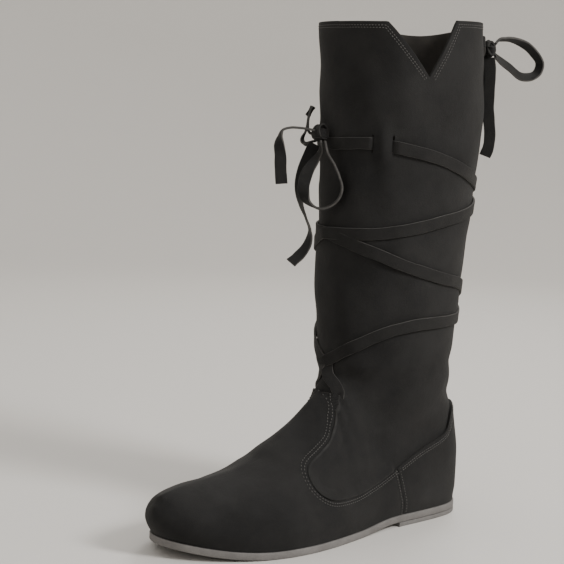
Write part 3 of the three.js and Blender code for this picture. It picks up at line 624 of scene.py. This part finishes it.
SUEDE = soft_material(
    "suede",
    dark=(0.0045, 0.0045, 0.0046),
    light=(0.0205, 0.0201, 0.0196),
    wear_and_highlight=(0.065, 0.064, 0.062),
    rough=0.93,
    nap=0.5,
    grain=0.3,
    sheen=0.045,
    patch=24.0,
)
THONG = soft_material(
    "thong",
    dark=(0.0062, 0.0061, 0.006),
    light=(0.0145, 0.014, 0.0135),
    wear_and_highlight=(0.1, 0.096, 0.091),
    rough=0.88,
    nap=0.55,
    grain=0.35,
    sheen=0.05,
    patch=90.0,
)
LINING = soft_material(
    "lining",
    dark=(0.02, 0.018, 0.016),
    light=(0.042, 0.038, 0.033),
    wear_and_highlight=(0.08, 0.07, 0.06),
    rough=0.8,
    nap=0.3,
    grain=0.25,
    sheen=0.05,
)
SOLE_LEATHER = soft_material(
    "sole",
    dark=(0.105, 0.1, 0.096),
    light=(0.195, 0.186, 0.178),
    wear_and_highlight=(0.3, 0.29, 0.28),
    rough=0.72,
    nap=0.3,
    grain=0.4,
    sheen=0.0,
    patch=60.0,
)
THREAD = soft_material(
    "thread",
    dark=(0.05, 0.048, 0.046),
    light=(0.105, 0.101, 0.097),
    wear_and_highlight=(0.09, 0.09, 0.09),
    rough=0.6,
    nap=0.3,
    grain=0.2,
    sheen=0.0,
    patch=300.0,
)
FLOOR = plain_material("floor", (0.62, 0.6, 0.57), 0.75)


# The camera, at the photo's place
CAMERA_AT = (747.99, 734.55, 277.16)
CAMERA_YAW = -130 * DEGREE
CAMERA_PITCH = 6.19 * DEGREE
CAMERA_ROLL = 2.15 * DEGREE
CAMERA_LENS = 91.95


def add_camera():
    ahead = Vector(
        (
            math.cos(CAMERA_YAW) * math.cos(CAMERA_PITCH),
            math.sin(CAMERA_YAW) * math.cos(CAMERA_PITCH),
            -math.sin(CAMERA_PITCH),
        )
    )
    right = ahead.cross(Vector((0, 0, 1))).normalized()
    up = right.cross(ahead)
    across = right * math.cos(CAMERA_ROLL) + up * math.sin(CAMERA_ROLL)
    above = up * math.cos(CAMERA_ROLL) - right * math.sin(CAMERA_ROLL)
    lens = bpy.data.cameras.new("camera")
    lens.lens = CAMERA_LENS
    lens.sensor_width = 36
    lens.clip_start = 0.02
    lens.clip_end = 60
    camera = bpy.data.objects.new("camera", lens)
    bpy.context.scene.collection.objects.link(camera)
    turned = Matrix((across, above, -ahead)).transposed().to_4x4()
    camera.matrix_world = Matrix.Translation(Vector(CAMERA_AT) * MM) @ turned
    bpy.context.scene.camera = camera
    return ahead, across


def add_light(name, place, aim, size, power, colour):
    light = bpy.data.lights.new(name, "AREA")
    light.shape = "DISK"
    light.size = size
    light.energy = power
    light.color = colour
    lamp = bpy.data.objects.new(name, light)
    bpy.context.scene.collection.objects.link(lamp)
    lamp.location = place
    lamp.rotation_euler = (Vector(aim) - Vector(place)).to_track_quat("-Z", "Y").to_euler()


# The stage in metres: a flat middle, a bend all round it and a wall
STAGE_FLAT = 1.7
STAGE_BEND = 1.2
STAGE_TOP = 2.2


def add_stage(ahead, across):
    """A pale floor and soft lights: the key from the right and in front."""
    profile = [(0.01, 0), (0.6, 0), (STAGE_FLAT, 0)]
    for k in range(1, 13):
        bend = k * math.pi / 24
        profile.append((STAGE_FLAT + STAGE_BEND * math.sin(bend), STAGE_BEND - STAGE_BEND * math.cos(bend)))
    profile += [(STAGE_FLAT + STAGE_BEND, STAGE_TOP)]
    ring = 72
    points = [
        (r * math.cos(k * 2 * math.pi / ring) / MM, r * math.sin(k * 2 * math.pi / ring) / MM, z / MM)
        for r, z in profile
        for k in range(ring)
    ]
    faces = loop_faces(len(profile), ring, False) + [tuple(range(ring))]
    mesh = mesh_of("floor", points, faces)
    mesh.shade_smooth()
    floor = link("floor", mesh, FLOOR)
    world = bpy.data.worlds.new("world")
    world.use_nodes = True
    world.node_tree.nodes["Background"].inputs["Color"].default_value = (0.8, 0.78, 0.75, 1)
    world.node_tree.nodes["Background"].inputs["Strength"].default_value = 1.1
    bpy.context.scene.world = world
    flat = Vector((ahead.x, ahead.y, 0)).normalized()
    side = Vector((across.x, across.y, 0)).normalized()
    up = Vector((0, 0, 1))
    middle = Vector((0.05, 0, 0.17))
    add_light("key", middle - flat * 0.9 + side * 1.5 + up * 1.15, middle, 0.6, 46, (1, 0.985, 0.97))
    add_light("fill", middle - flat * 1.5 - side * 1.0 + up * 0.9, middle, 1.2, 4, (0.95, 0.97, 1))
    add_light("back", middle + flat * 1.3 + side * 0.3 + up * 1.4, middle, 0.8, 12, (1, 0.98, 0.95))


# Cords: the bows' loops and ends. A row is a place from the knot's middle, the way the thong's
# width lies in degrees, and its tilt. The rows repeat the part's source.
FRONT_KNOT = (90.81, -13.66, 272.5)
BACK_KNOT = (-27.13, 30.67, 336)
FRONT_LOOP_OUTER = [
    (1.5, 2.5, -5.5, 50, 0), (3, 4, -12, 65, 0), (7.5, 3.5, -18.5, 100, 0), (12.5, 3, -25.5, 130, 0),
    (15, 2.5, -33, 139, 0), (15.5, 3, -40, 120, 0), (13.5, 4.5, -46, 85, 0), (8.5, 8, -50, 55, 0),
    (5.5, 12, -50.5, 50, 0), (1.5, 17.5, -47.5, 50, 0), (-0.5, 22, -42, 50, 0),
    (-1, 23.5, -35.5, 50, 0), (0, 21.5, -28.5, 50, 0), (0.5, 16.5, -20.5, 50, 0),
    (1.5, 10.5, -13, 50, 0), (0.5, 6.5, -6.5, 50, 0),
]
FRONT_LOOP_INNER = [
    (-2, -8, -0.5, 50, 0), (0, -11.5, 1, 50, 0), (-1, -14.5, 6.5, 50, 0), (-4, -17, 13, 50, 0),
    (-7.5, -20, 15.5, 50, 0), (-9, -23.5, 11, 50, 0), (-9, -25, 3.5, 50, 0), (-4.5, -23, -3.5, 50, 0),
    (-1.5, -17, -6.5, 50, 0), (-1.5, -9.5, -5.5, 50, 0),
]
FRONT_END_FORWARD = [
    (3.5, -3, 2.5, 50, 0), (11, -7, 3.5, 50, 0), (18.5, -10.5, 3.5, 50, 0), (23.5, -12.5, 1.5, 52, 0),
    (25, -13, -2.5, 65, 0), (25.5, -13, -8, 105, 0), (24.5, -12.5, -16, 139, 0),
    (24, -12.5, -24, 139, 0), (23, -12, -35, 139, 0),
]
FRONT_END_LONG = [
    (1.5, -3.5, -7, 139, 0), (3.5, -5.5, -12.5, 139, 0), (7.5, -7, -23, 130, 0),
    (11, -7, -35.5, 100, 0), (10, -6, -48.5, 65, 0), (6, -4.5, -58.5, 50, 0), (2.5, -4, -67, 55, 0),
    (4.5, -4, -76.5, 90, 0), (10.5, -5, -84, 125, 0), (17, -6, -89, 139, 0),
]
BACK_LOOP_OUT = [
    (-3.5, 1, 3.5, 42, 0), (-8, 1.5, 7.5, 42, 0), (-12.5, 2, 8.5, 45, 8), (-20, 4, 8.5, 52, 15),
    (-31, 7, 5, 70, 26), (-39, 9, -1, 80, 18), (-43.5, 10, -7, 85, 0), (-41, 10, -14, 76, -26),
    (-36, 8, -17, 55, -38), (-26.5, 6.5, -17, 42, -43), (-18, 4, -11.5, 42, -43),
    (-9.5, 2.5, -7, 42, -35), (-4, 1.5, -3.5, 42, -20),
]
BACK_LOOP_DOWN = [
    (-3.5, -1.5, -5.5, 78, 0), (-8, -4, -13, 78, 0), (-9.5, -5, -20, 78, 0), (-9.5, -6, -28.5, 78, 0),
    (-7, -7, -35.5, 78, 0), (-4, -7.5, -32.5, 78, 0), (-3, -7.5, -23.5, 78, 0), (-2, -6, -14.5, 78, 0),
    (-1.5, -3.5, -6.5, 78, 0),
]
BACK_END_OUTER = [
    (2, 2, -5.5, 132, 0), (2, 3.5, -18, 132, 0), (2.5, 4, -31, 132, 0), (2.5, 4, -41.5, 132, 0),
    (1.5, 4.5, -50.5, 132, 0), (0.5, 5, -60, 132, 0), (1.5, 5, -69, 132, 0), (3.5, 4, -75, 132, 0),
]
BACK_END_INNER = [
    (-4.5, -8.5, -1, 95, 0), (-7.5, -13.5, -9.5, 95, 0), (-9, -15.5, -21, 95, 0),
    (-9, -16, -34.5, 95, 0), (-8.5, -16, -47.5, 95, 0), (-8, -16, -60, 95, 0), (-7, -15.5, -69, 95, 0),
]
BOWS = [
    ("front_loop_outer", FRONT_KNOT, FRONT_LOOP_OUTER, "object", "front"),
    ("front_loop_inner", FRONT_KNOT, FRONT_LOOP_INNER, "object", ""),
    ("front_end_forward", FRONT_KNOT, FRONT_END_FORWARD, "bare", ""),
    ("front_end_long", FRONT_KNOT, FRONT_END_LONG, "bare", ""),
    ("back_loop_out", BACK_KNOT, BACK_LOOP_OUT, "object", "back"),
    ("back_loop_down", BACK_KNOT, BACK_LOOP_DOWN, "object", ""),
    ("back_end_outer", BACK_KNOT, BACK_END_OUTER, "bare", ""),
    ("back_end_inner", BACK_KNOT, BACK_END_INNER, "bare", ""),
]


def bow_line(knot, rows):
    table = np.array(rows, float)
    middle = spline(table[:, :3]) + np.array(knot)
    at = np.linspace(0, len(table) - 1, len(middle))
    lay = np.interp(at, range(len(table)), table[:, 3]) * DEGREE
    tilt = np.interp(at, range(len(table)), table[:, 4]) * DEGREE
    along = unit(np.gradient(middle, axis=0))
    wide = np.stack([np.cos(lay), np.sin(lay), np.tan(tilt)], axis=-1)
    face = unit(np.cross(wide, along))
    across = unit(np.cross(along, face))
    return middle, across, face


def knot_lines(knot, deep, wide, high, away):
    """Turns of thong wound over each other: rings about the knot's middle, away from the shaft."""
    out = np.array([math.cos(away * DEGREE), math.sin(away * DEGREE), 0])
    side = np.array([-out[1], out[0], 0])
    up = np.array([0, 0, 1.0])
    lines = []
    for lean, shift, grow in ((14, -0.19, 1.0), (-24, 0.2, 1.04), (78, 0, 1.22)):
        a = lean * DEGREE
        rise = up * math.cos(a) + side * math.sin(a)
        broad = side * math.cos(a) - up * math.sin(a)
        phase = np.linspace(0, 2 * math.pi, 40, endpoint=False)
        tall = high if abs(lean) < 45 else wide
        middle = (
            np.array(knot)
            + out * (np.cos(phase) * (deep / 2 - 0.6) * grow)[:, None]
            + rise * (np.sin(phase) * (tall / 2 - 0.6))[:, None]
            + broad * (shift * wide + 0.6 * np.sin(phase))[:, None]
        )
        step = np.roll(middle, -1, axis=0) - np.roll(middle, 1, axis=0)
        along = unit(step)
        across = np.tile(broad, (len(phase), 1))
        lines.append((middle, across, unit(np.cross(across, along))))
    return lines


def knot_core(name, knot, deep, wide, high, away):
    """The folded thong inside a knot, ridged where its layers lie."""
    ball = bmesh.new()
    bmesh.ops.create_uvsphere(ball, u_segments=28, v_segments=18, radius=1)
    out = Vector((math.cos(away * DEGREE), math.sin(away * DEGREE), 0))
    side = Vector((-out.y, out.x, 0))
    for vertex in ball.verts:
        x, y, z = vertex.co
        ridge = 1 + 0.07 * math.sin(7 * y + 2.2 * z) + 0.04 * math.sin(9 * z - 3 * x)
        place = out * x * deep * 0.47 + side * y * wide * 0.5 + Vector((0, 0, z * high * 0.45))
        vertex.co = (Vector(knot) + place * ridge) * MM
    mesh = bpy.data.meshes.new(name)
    ball.to_mesh(mesh)
    ball.free()
    mesh.shade_smooth()
    return mesh


def add_knot(name, node_name, knot, deep, wide, high, away):
    core = link(name + "_core", knot_core(name + "_core", knot, deep, wide, high, away), THONG)
    mesh = band_mesh(name, knot_lines(knot, deep, wide, high, away), closed=True, wide=5.8, pale=0.3)
    piece = link(name, mesh, THONG)
    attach(core, "root")
    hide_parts(node_name)
    dress(piece, node_name)
    return piece


def add_bows():
    front = add_knot("front_knot_turns", "front_knot", FRONT_KNOT, 8, 13, 11, LACE_TURN - 7)
    back = add_knot("back_knot_turns", "back_knot", BACK_KNOT, 6, 12, 11, BACK_TURN)
    for name, knot, rows, far_end, held in BOWS:
        line = bow_line(knot, rows)
        piece = link(name + "_thong", band_mesh(name, [line]), THONG)
        dress(piece, name)


# The upper
NOTCH_DEPTH = 37.5
NOTCH_WIDTH = 48
NOTCH_PLACE = 53.5
RIM_TURNS = [-70, 29, 92, 138, 180, 215, 260, 320, 389, 452]
RIM = Curve(RIM_TURNS, [350, 348.5, 352, 353.6, 350.4, 346.8, 350, 349.6, 348.5, 352])
SHAFT_TURNS = 240
SCALED_FROM = 288  # the rows above it follow the rim and the notch
RIM_ROUND = 0.6
NOTCH_TURNS = (39.4, 68.3, 91.9)


def top_at(turn):
    x = base_point(turn, BOOT_HEIGHT - 2)[..., 0]
    outer = np.sin(np.asarray(turn) * DEGREE) > 0
    cleft = np.clip(1 - np.abs(x - NOTCH_PLACE) / (NOTCH_WIDTH / 2), 0, 1)
    return RIM(np.asarray(turn) % 360) - NOTCH_DEPTH * cleft * outer


def shaft_turns():
    turns = np.arange(SHAFT_TURNS) * 360 / SHAFT_TURNS
    for place in NOTCH_TURNS:
        turns[np.argmin(np.abs(turns - place))] = place
    return turns


SLITS = [(LACE_TURN + side * turn, SLIT_PLACE - 0.8, 13.6) for turn in SLIT_TURNS for side in (1, -1)]
EYELETS = [(BACK_TURN + side * EYELET_TURN, EYELET_PLACE - 0.6, 8.2) for side in (1, -1)]


def slit_mesh():
    """Upright cutters through the wall, pointed at both ends as a blade leaves them."""
    points, faces = [], []
    for turn, level, tall in SLITS + EYELETS:
        middle = skin(turn, level, 0)
        out = skin_normal(turn, level) * np.array([1, 1, 0])
        out = unit(out)
        side = np.array([-out[1], out[0], 0])
        half = [(0, -0.5), (0.45, -0.38), (0.5, 0), (0.45, 0.38)]
        outline = half + [(-across, -up) for across, up in half]
        start = len(points)
        for reach in (-7, 7):
            for across, up in outline:
                points.append(middle + out * reach + side * across * 1.6 + np.array([0, 0, up * tall]))
        count = len(outline)
        faces.append(tuple(start + k for k in range(count - 1, -1, -1)))
        faces.append(tuple(start + count + k for k in range(count)))
        for k in range(count):
            n = (k + 1) % count
            faces.append((start + k, start + n, start + count + n, start + count + k))
    mesh = mesh_of("slits", points, faces)
    face_outwards(mesh)
    return mesh


def add_shaft():
    turns = shaft_turns()
    top = top_at(turns)
    shares = np.linspace(0, 1, 27)
    upper = [SCALED_FROM + (top - RIM_ROUND - SCALED_FROM) * s for s in shares]
    low = list(np.arange(0, 60, 2.2)) + list(np.arange(60, 140, 1.8)) + list(np.arange(140, SCALED_FROM, 2.2))
    outer = [(level, 0) for level in low + upper]
    rim = [(top - 0.12, -0.25), (top, -0.8), (top, -1.2), (top - 0.12, -1.75)]
    inner = [(level, -WALL) for level in upper[::-3] + low[::-2]]
    mesh = shell("shaft", turns, outer + rim + inner)
    piece = link("shaft", mesh, SUEDE, LINING)
    first_inner = (len(outer) + len(rim)) * len(turns)
    last_rim = first_inner - len(turns)
    spans = [(min(face.vertices), max(face.vertices)) for face in mesh.polygons]
    index = [int(low_end >= last_rim and high_end >= first_inner) for low_end, high_end in spans]
    mesh.polygons.foreach_set("material_index", index)
    soften(mesh)
    cut(piece, slit_mesh(), "DIFFERENCE")
    dress(piece, "upper")


# The seam between vamp and shaft in side view (forward, up), from the throat down and back to the counter
SEAM = [
    (89.8, 95.6), (90.5, 91.2), (91.6, 86.8), (96.6, 77.2), (104.5, 66.6), (114.9, 59.5), (124.6, 54),
    (129.1, 50.3), (130.7, 46.4), (130.1, 41), (125.9, 35.2), (117, 30.8), (103.9, 29.7), (88, 30.7),
    (67.1, 35.5), (48.1, 42),
]
COUNTER_TOP = [(48.1, 42), (24, 52.4), (-3.3, 62.1), (-8, 68.5), (-12, 76), (-17.5, 80.2), (-45, 81)]
COUNTER_FRONT = [(48.1, 42), (43, 24), (40.2, 11), (40.2, -6)]


def smooth_line(points, per=8):
    return spline([(x, 0, z) for x, z in points], per)[:, [0, 2]]


SEAM_LINE = smooth_line(SEAM)
COUNTER_TOP_LINE = smooth_line(COUNTER_TOP)
COUNTER_FRONT_LINE = smooth_line(COUNTER_FRONT)


def line_distance(places, line):
    """Distance in side view from each place to a line."""
    result = np.full(len(places), np.inf)
    for a, b in zip(line[:-1], line[1:]):
        along = b - a
        share = np.clip(((places - a) @ along) / (along @ along), 0, 1)
        result = np.minimum(result, np.linalg.norm(places - a - share[:, None] * along, axis=1))
    return result


PANEL_TURNS = 480
PANEL_STEP = 1.5
LOW_GAP = 0.25  # from the skin to a panel's underside
EDGE_THINNED = 0.55  # how much thinner a panel is at its cut edge
EDGE_REACH = 1.1
SEWN_IN = 0.3  # how far the stitches draw it in, and where
SEWN_AT = 3.4
SEWN_REACH = 1.5
COUNTER_PROUD = 0.7


def panel_face(level, proud):
    """How far a panel's face stands off the skin."""
    return SEAT + PANEL + proud * smooth((level - 20) / 30)


def panel_shell(name, top, lines, proud):
    """A layer over the foot, thinned at its cut edges and drawn in along its stitches."""
    turns = np.arange(PANEL_TURNS) * 360 / PANEL_TURNS
    rows = []
    for level in np.arange(0, top, PANEL_STEP):
        place = base_point(turns, level)
        away = np.minimum.reduce([line_distance(place[:, [0, 2]], line) for line in lines])
        drawn = EDGE_THINNED * np.exp(-((away / EDGE_REACH) ** 2))
        drawn = drawn + SEWN_IN * np.exp(-(((away - SEWN_AT) / SEWN_REACH) ** 2))
        rows.append((level, panel_face(level, proud) - drawn))
    rows += [(level, LOW_GAP) for level in np.arange(top - PANEL_STEP, -0.1, -4 * PANEL_STEP)]
    return shell(name, turns, rows)


def add_panels():
    vamp_outline = list(SEAM_LINE) + list(COUNTER_FRONT_LINE[1:]) + [(250, -6), (250, 95.6)]
    counter_outline = list(COUNTER_TOP_LINE) + [(-60, 81), (-60, -6)] + list(COUNTER_FRONT_LINE[::-1][:-1])
    counter_outline = [(x - 0.35 if z < 42 and x > 30 else x, z) for x, z in counter_outline]
    vamp = link("vamp_panel", panel_shell("vamp_panel", 100, [SEAM_LINE, COUNTER_FRONT_LINE], 0), SUEDE)
    cut(vamp, side_prism("vamp_prism", vamp_outline, -80, 80), "INTERSECT")
    counter_lines = [COUNTER_TOP_LINE, COUNTER_FRONT_LINE]
    counter = link("counter_panel", panel_shell("counter_panel", 86, counter_lines, COUNTER_PROUD), SUEDE)
    cut(counter, side_prism("counter_prism", counter_outline, -80, 80), "INTERSECT")
    dress(vamp, "vamp")
    dress(counter, "heel_counter")


def offset_line(line, away):
    """A line moved sideways in side view, to the right of its run where away is positive."""
    along = np.gradient(line, axis=0)
    along /= np.maximum(np.linalg.norm(along, axis=1, keepdims=True), 1e-9)
    return line + np.stack([along[:, 1], -along[:, 0]], axis=1) * away


def even(line, pitch):
    run = np.concatenate([[0], np.cumsum(np.linalg.norm(np.diff(line, axis=0), axis=1))])
    at = np.arange(pitch / 2, run[-1], pitch)
    return np.stack([np.interp(at, run, line[:, k]) for k in range(line.shape[1])], axis=1)


# The shaft's cut edge along the vamp: (distance from the seam, height over the skin)
EDGE = [(0, -0.5), (0, 1.7), (0.3, 1.98), (0.8, 2.05), (1.6, 1.85), (3, 1.3), (4.8, 0.68), (7, 0.15)]
EDGE += [(8.8, -0.3), (8.8, -0.5)]


def add_shaft_edge():
    line = even(SEAM_LINE, 1.0)
    run = np.arange(len(line))
    taper = smooth(run / 13) * smooth((len(line) - 1 - run) / 6)
    points, faces, raw_edge_and_highlight = [], [], []
    for side in (1, -1):
        start = sum(len(p) for p in points)
        rows = []
        for away, lift in EDGE:
            place = offset_line(line, away)
            level = level_of(place[:, 0], place[:, 1])
            height = lift * taper if lift > 0 else lift
            rows.append(skin(turn_at(place[:, 0], level, side), level, height))
        count = len(EDGE)
        points.append(np.stack(rows, axis=1).reshape(-1, 3))
        # The cut edge's crest is painted paler: the raw edge's own lighter tone plus a painted highlight,
        # strongest along the upper seam and fading lower down
        seam_highlight = 0.55 - 0.45 * smooth((run - 38) / 25)
        crest = np.array([1.0 if 1 <= i < 4 else 0.0 for i in range(count)])
        raw_edge_and_highlight.extend((seam_highlight[:, None] * crest).ravel())
        for a, b, c, d in loop_faces(len(line), count, False):
            faces.append((start + a, start + b, start + c, start + d))
        faces.append(tuple(start + k for k in range(count)))
        faces.append(tuple(start + (len(line) - 1) * count + k for k in range(count - 1, -1, -1)))
    mesh = mesh_of("shaft_edge", np.concatenate(points), faces)
    face_outwards(mesh)
    shade(mesh, "raw_edge_and_highlight", raw_edge_and_highlight)
    soften(mesh, 60)
    piece = link("shaft_edge", mesh, SUEDE)
    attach(piece, "root")


# Stitches
STITCH = (0.72, 0.33, 0.32)
STITCH_PITCH = 2.15


def stitch_mesh(name, rows):
    """Small rounded stitches along rows of (places, ways along, normals)."""
    ring, slices = 5, 6
    unit_ball = [(math.cos(math.pi * i / ring), math.sin(math.pi * i / ring)) for i in range(ring + 1)]
    angles = [2 * math.pi * k / slices for k in range(slices)]
    spokes = [(math.cos(angle), math.sin(angle)) for angle in angles]
    rings = [(c, s * across, s * up) for c, s in unit_ball[1:-1] for across, up in spokes]
    template = np.array(rings + [(1, 0, 0), (-1, 0, 0)])
    body = loop_faces(ring - 1, slices, False)
    tip, tail = (ring - 1) * slices, (ring - 1) * slices + 1
    caps = [(k, tip, (k + 1) % slices) for k in range(slices)]
    last = (ring - 2) * slices
    caps += [(last + (k + 1) % slices, tail, last + k) for k in range(slices)]
    points, faces = [], []
    for place, along, normal in rows:
        side = unit(np.cross(normal, along))
        for p, a, s, n in zip(place, along, side, normal):
            start = len(points) * len(template)
            points.append(p + template @ np.array([a * STITCH[0], s * STITCH[1], n * STITCH[2]]))
            faces += [tuple(start + k for k in face) for face in body + caps]
    mesh = mesh_of(name, np.concatenate(points), faces)
    face_outwards(mesh)
    mesh.shade_smooth()
    return mesh


def side_row(line, away, proud, side):
    """A row of stitches beside a line in side view, on a panel's face."""
    moved = even(offset_line(line, away), STITCH_PITCH)
    level = level_of(moved[:, 0], moved[:, 1])
    turn = turn_at(moved[:, 0], level, side)
    place = skin(turn, level, panel_face(level, proud))
    return place, unit(np.gradient(place, axis=0)), skin_normal(turn, level)


def rim_row(down):
    """A row of stitches below the rim and beside the notch."""
    girth = 0.94
    left, apex, right = NOTCH_TURNS
    round_turns = np.concatenate([[apex], np.arange(left, right - 360, -4), [right - 360, apex - 360]])
    line = np.stack([round_turns * girth, top_at(round_turns)], axis=1)
    line[0, 1] = line[-1, 1] = BOOT_HEIGHT - NOTCH_DEPTH
    fine = even(line, 0.5)
    moved = offset_line(fine, -down)
    below = line_distance(moved, fine) > down * 0.96
    moved = even(moved[below], STITCH_PITCH)
    turn, level = moved[:, 0] / girth, moved[:, 1]
    place = skin(turn, level, 0.05)
    return place, unit(np.gradient(place, axis=0)), skin_normal(turn, level)


def add_stitches():
    rows = []
    for side in (1, -1):
        rows += [side_row(SEAM_LINE, -away, 0, side) for away in (1.7, 3.4)]
        rows += [side_row(COUNTER_FRONT_LINE[:-6], away, 0, side) for away in (2.2, -2.2)]
        rows += [side_row(COUNTER_TOP_LINE[1:-4], -away, COUNTER_PROUD, side) for away in (1.9, 3.5)]
    seams = link("seam_stitches", stitch_mesh("seam_stitches", rows), THREAD)
    hem = link("hem_stitches", stitch_mesh("hem_stitches", [rim_row(2.6), rim_row(4.2)]), THREAD)
    for piece in (seams, hem):
        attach(piece, "root")


# The thongs round the shaft
def add_wraps():
    lines = []
    for side, (turn, level, lift) in WRAP_LINES.items():
        own = side * (turn - LACE_TURN)
        over = [place for i, place in enumerate(CROSSINGS) if (i % 2 == 0) == (side > 0)]
        place = base_point(turn, level)
        for crossing in over:
            at = np.argmin(np.abs(own - crossing))
            away = np.linalg.norm(place - place[at], axis=1)
            lift = lift + CROSS_LIFT * np.exp(-((away / CROSS_REACH) ** 2))
        lines.append(skin_line(turn, level, lift))
    piece = link("wraps", band_mesh("wraps", lines), THONG)
    dress(piece, "wrap_thongs")
    front_rows = [(37.5, 0.993, -3.8), (35, 0.995, -3.3), (33, 0.997, -1.0), (31, 0.997, 0.9)]
    front_rows += [(27, 0.997, WRAP_SEAT), (14, 0.994, WRAP_SEAT)]
    front = [(LACE_TURN + turn, wrap_level(up), lift) for turn, up, lift in front_rows]
    front += [(LACE_TURN, wrap_level(0.991), WRAP_SEAT)]
    front += [(LACE_TURN - turn, wrap_level(up), lift) for turn, up, lift in front_rows[::-1]]
    back_rows = [(17, 341, -3.8), (14.8, 341, -3.2), (13, 341, -1.0), (11.2, 340.7, 0.9)]
    back_rows += [(9.5, 340, WRAP_SEAT), (6, 337.5, WRAP_SEAT)]
    back = [(BACK_TURN + turn, level, lift) for turn, level, lift in back_rows]
    back += [(BACK_TURN, 335, WRAP_SEAT)]
    back += [(BACK_TURN - turn, level, lift) for turn, level, lift in back_rows[::-1]]
    for name, replaced, rows in (("front_lace", "front_thong", front), ("rear_lace", "back_lace", back)):
        piece = link(name, band_mesh(name, [skin_line(*follow(rows, 1.0))]), THONG)
        dress(piece, replaced)


# The sole
SOLE_LIP = 0.9
FOOTBED = 3.1
FOOTBED_GAP = 0.1
RING_TURNS = 300


def ring_at(level, off):
    turns = np.arange(RING_TURNS) * 360 / RING_TURNS
    out = skin_normal(turns, np.full(RING_TURNS, level)) * np.array([1, 1, 0])
    return (base_point(turns, level) + unit(out) * off)[:, :2]


def plate_mesh(name, ring, low, high, bevel=0.6):
    """A plate with rounded edges over a ring, its faces following low(x) and high(x)."""
    mirrored = np.roll(ring[::-1], 1, axis=0)
    spine = np.stack([(ring[:, 0] + mirrored[:, 0]) / 2, (ring[:, 1] + mirrored[:, 1]) / 2], axis=1)
    out = unit(ring - spine)
    shares = [0, 0.3, 0.55, 0.75, 0.88, 0.95]
    rows = []
    for share in shares:
        at = spine + (ring - spine) * share
        rows.append(np.column_stack([at, low(at[:, 0])]))
    for inward, up in ((bevel, 0), (0.3 * bevel, 0.3), (0, 1)):
        at = ring - out * inward
        rows.append(np.column_stack([at, low(ring[:, 0]) + bevel * up]))
    for inward, down in ((0, 1), (0.3 * bevel, 0.3), (bevel, 0)):
        at = ring - out * inward
        rows.append(np.column_stack([at, high(ring[:, 0]) - bevel * down]))
    for share in shares[::-1]:
        at = spine + (ring - spine) * share
        rows.append(np.column_stack([at, high(at[:, 0])]))
    mesh = mesh_of(name, np.concatenate(rows), loop_faces(len(rows), len(ring), False))
    tidy = bmesh.new()
    tidy.from_mesh(mesh)
    bmesh.ops.remove_doubles(tidy, verts=tidy.verts, dist=0.02 * MM)
    bmesh.ops.recalc_face_normals(tidy, faces=tidy.faces)
    tidy.to_mesh(mesh)
    tidy.free()
    soften(mesh, 45)
    return mesh


def add_sole():
    ring = ring_at(0, SEAT + PANEL + SOLE_LIP)
    sheet_mesh = plate_mesh("sole_sheet", ring, lambda x: sole_top(x) - SOLE, sole_top)
    sheet = link("sole_sheet", sheet_mesh, SOLE_LEATHER)
    lift = plate_mesh("heel_lift", ring, lambda x: 0 * x, lambda x: 0 * x + HEEL_RISE - 0.12, 0.45)
    heel = link("heel_lift", lift, SOLE_LEATHER)
    back = [(-60, -4), (HEEL_BREAST, -4), (HEEL_BREAST - 0.6, 8), (-60, 8)]
    cut(heel, side_prism("heel_prism", back, -80, 80), "INTERSECT")
    for piece in (sheet, heel):
        dress(piece, "outsole")
    inner = ring_at(4, -WALL - 2 * SEAT)
    under = SEAT + WALL + FOOTBED_GAP
    over = under + FOOTBED
    footbed = plate_mesh("footbed", inner, lambda x: sole_top(x) + under, lambda x: sole_top(x) + over)
    piece = link("footbed", footbed, LINING)
    dress(piece, "insole")


ahead, across = add_camera()
add_bows()
add_stage(ahead, across)
add_shaft()
add_panels()
add_shaft_edge()
add_stitches()
add_wraps()
add_sole()
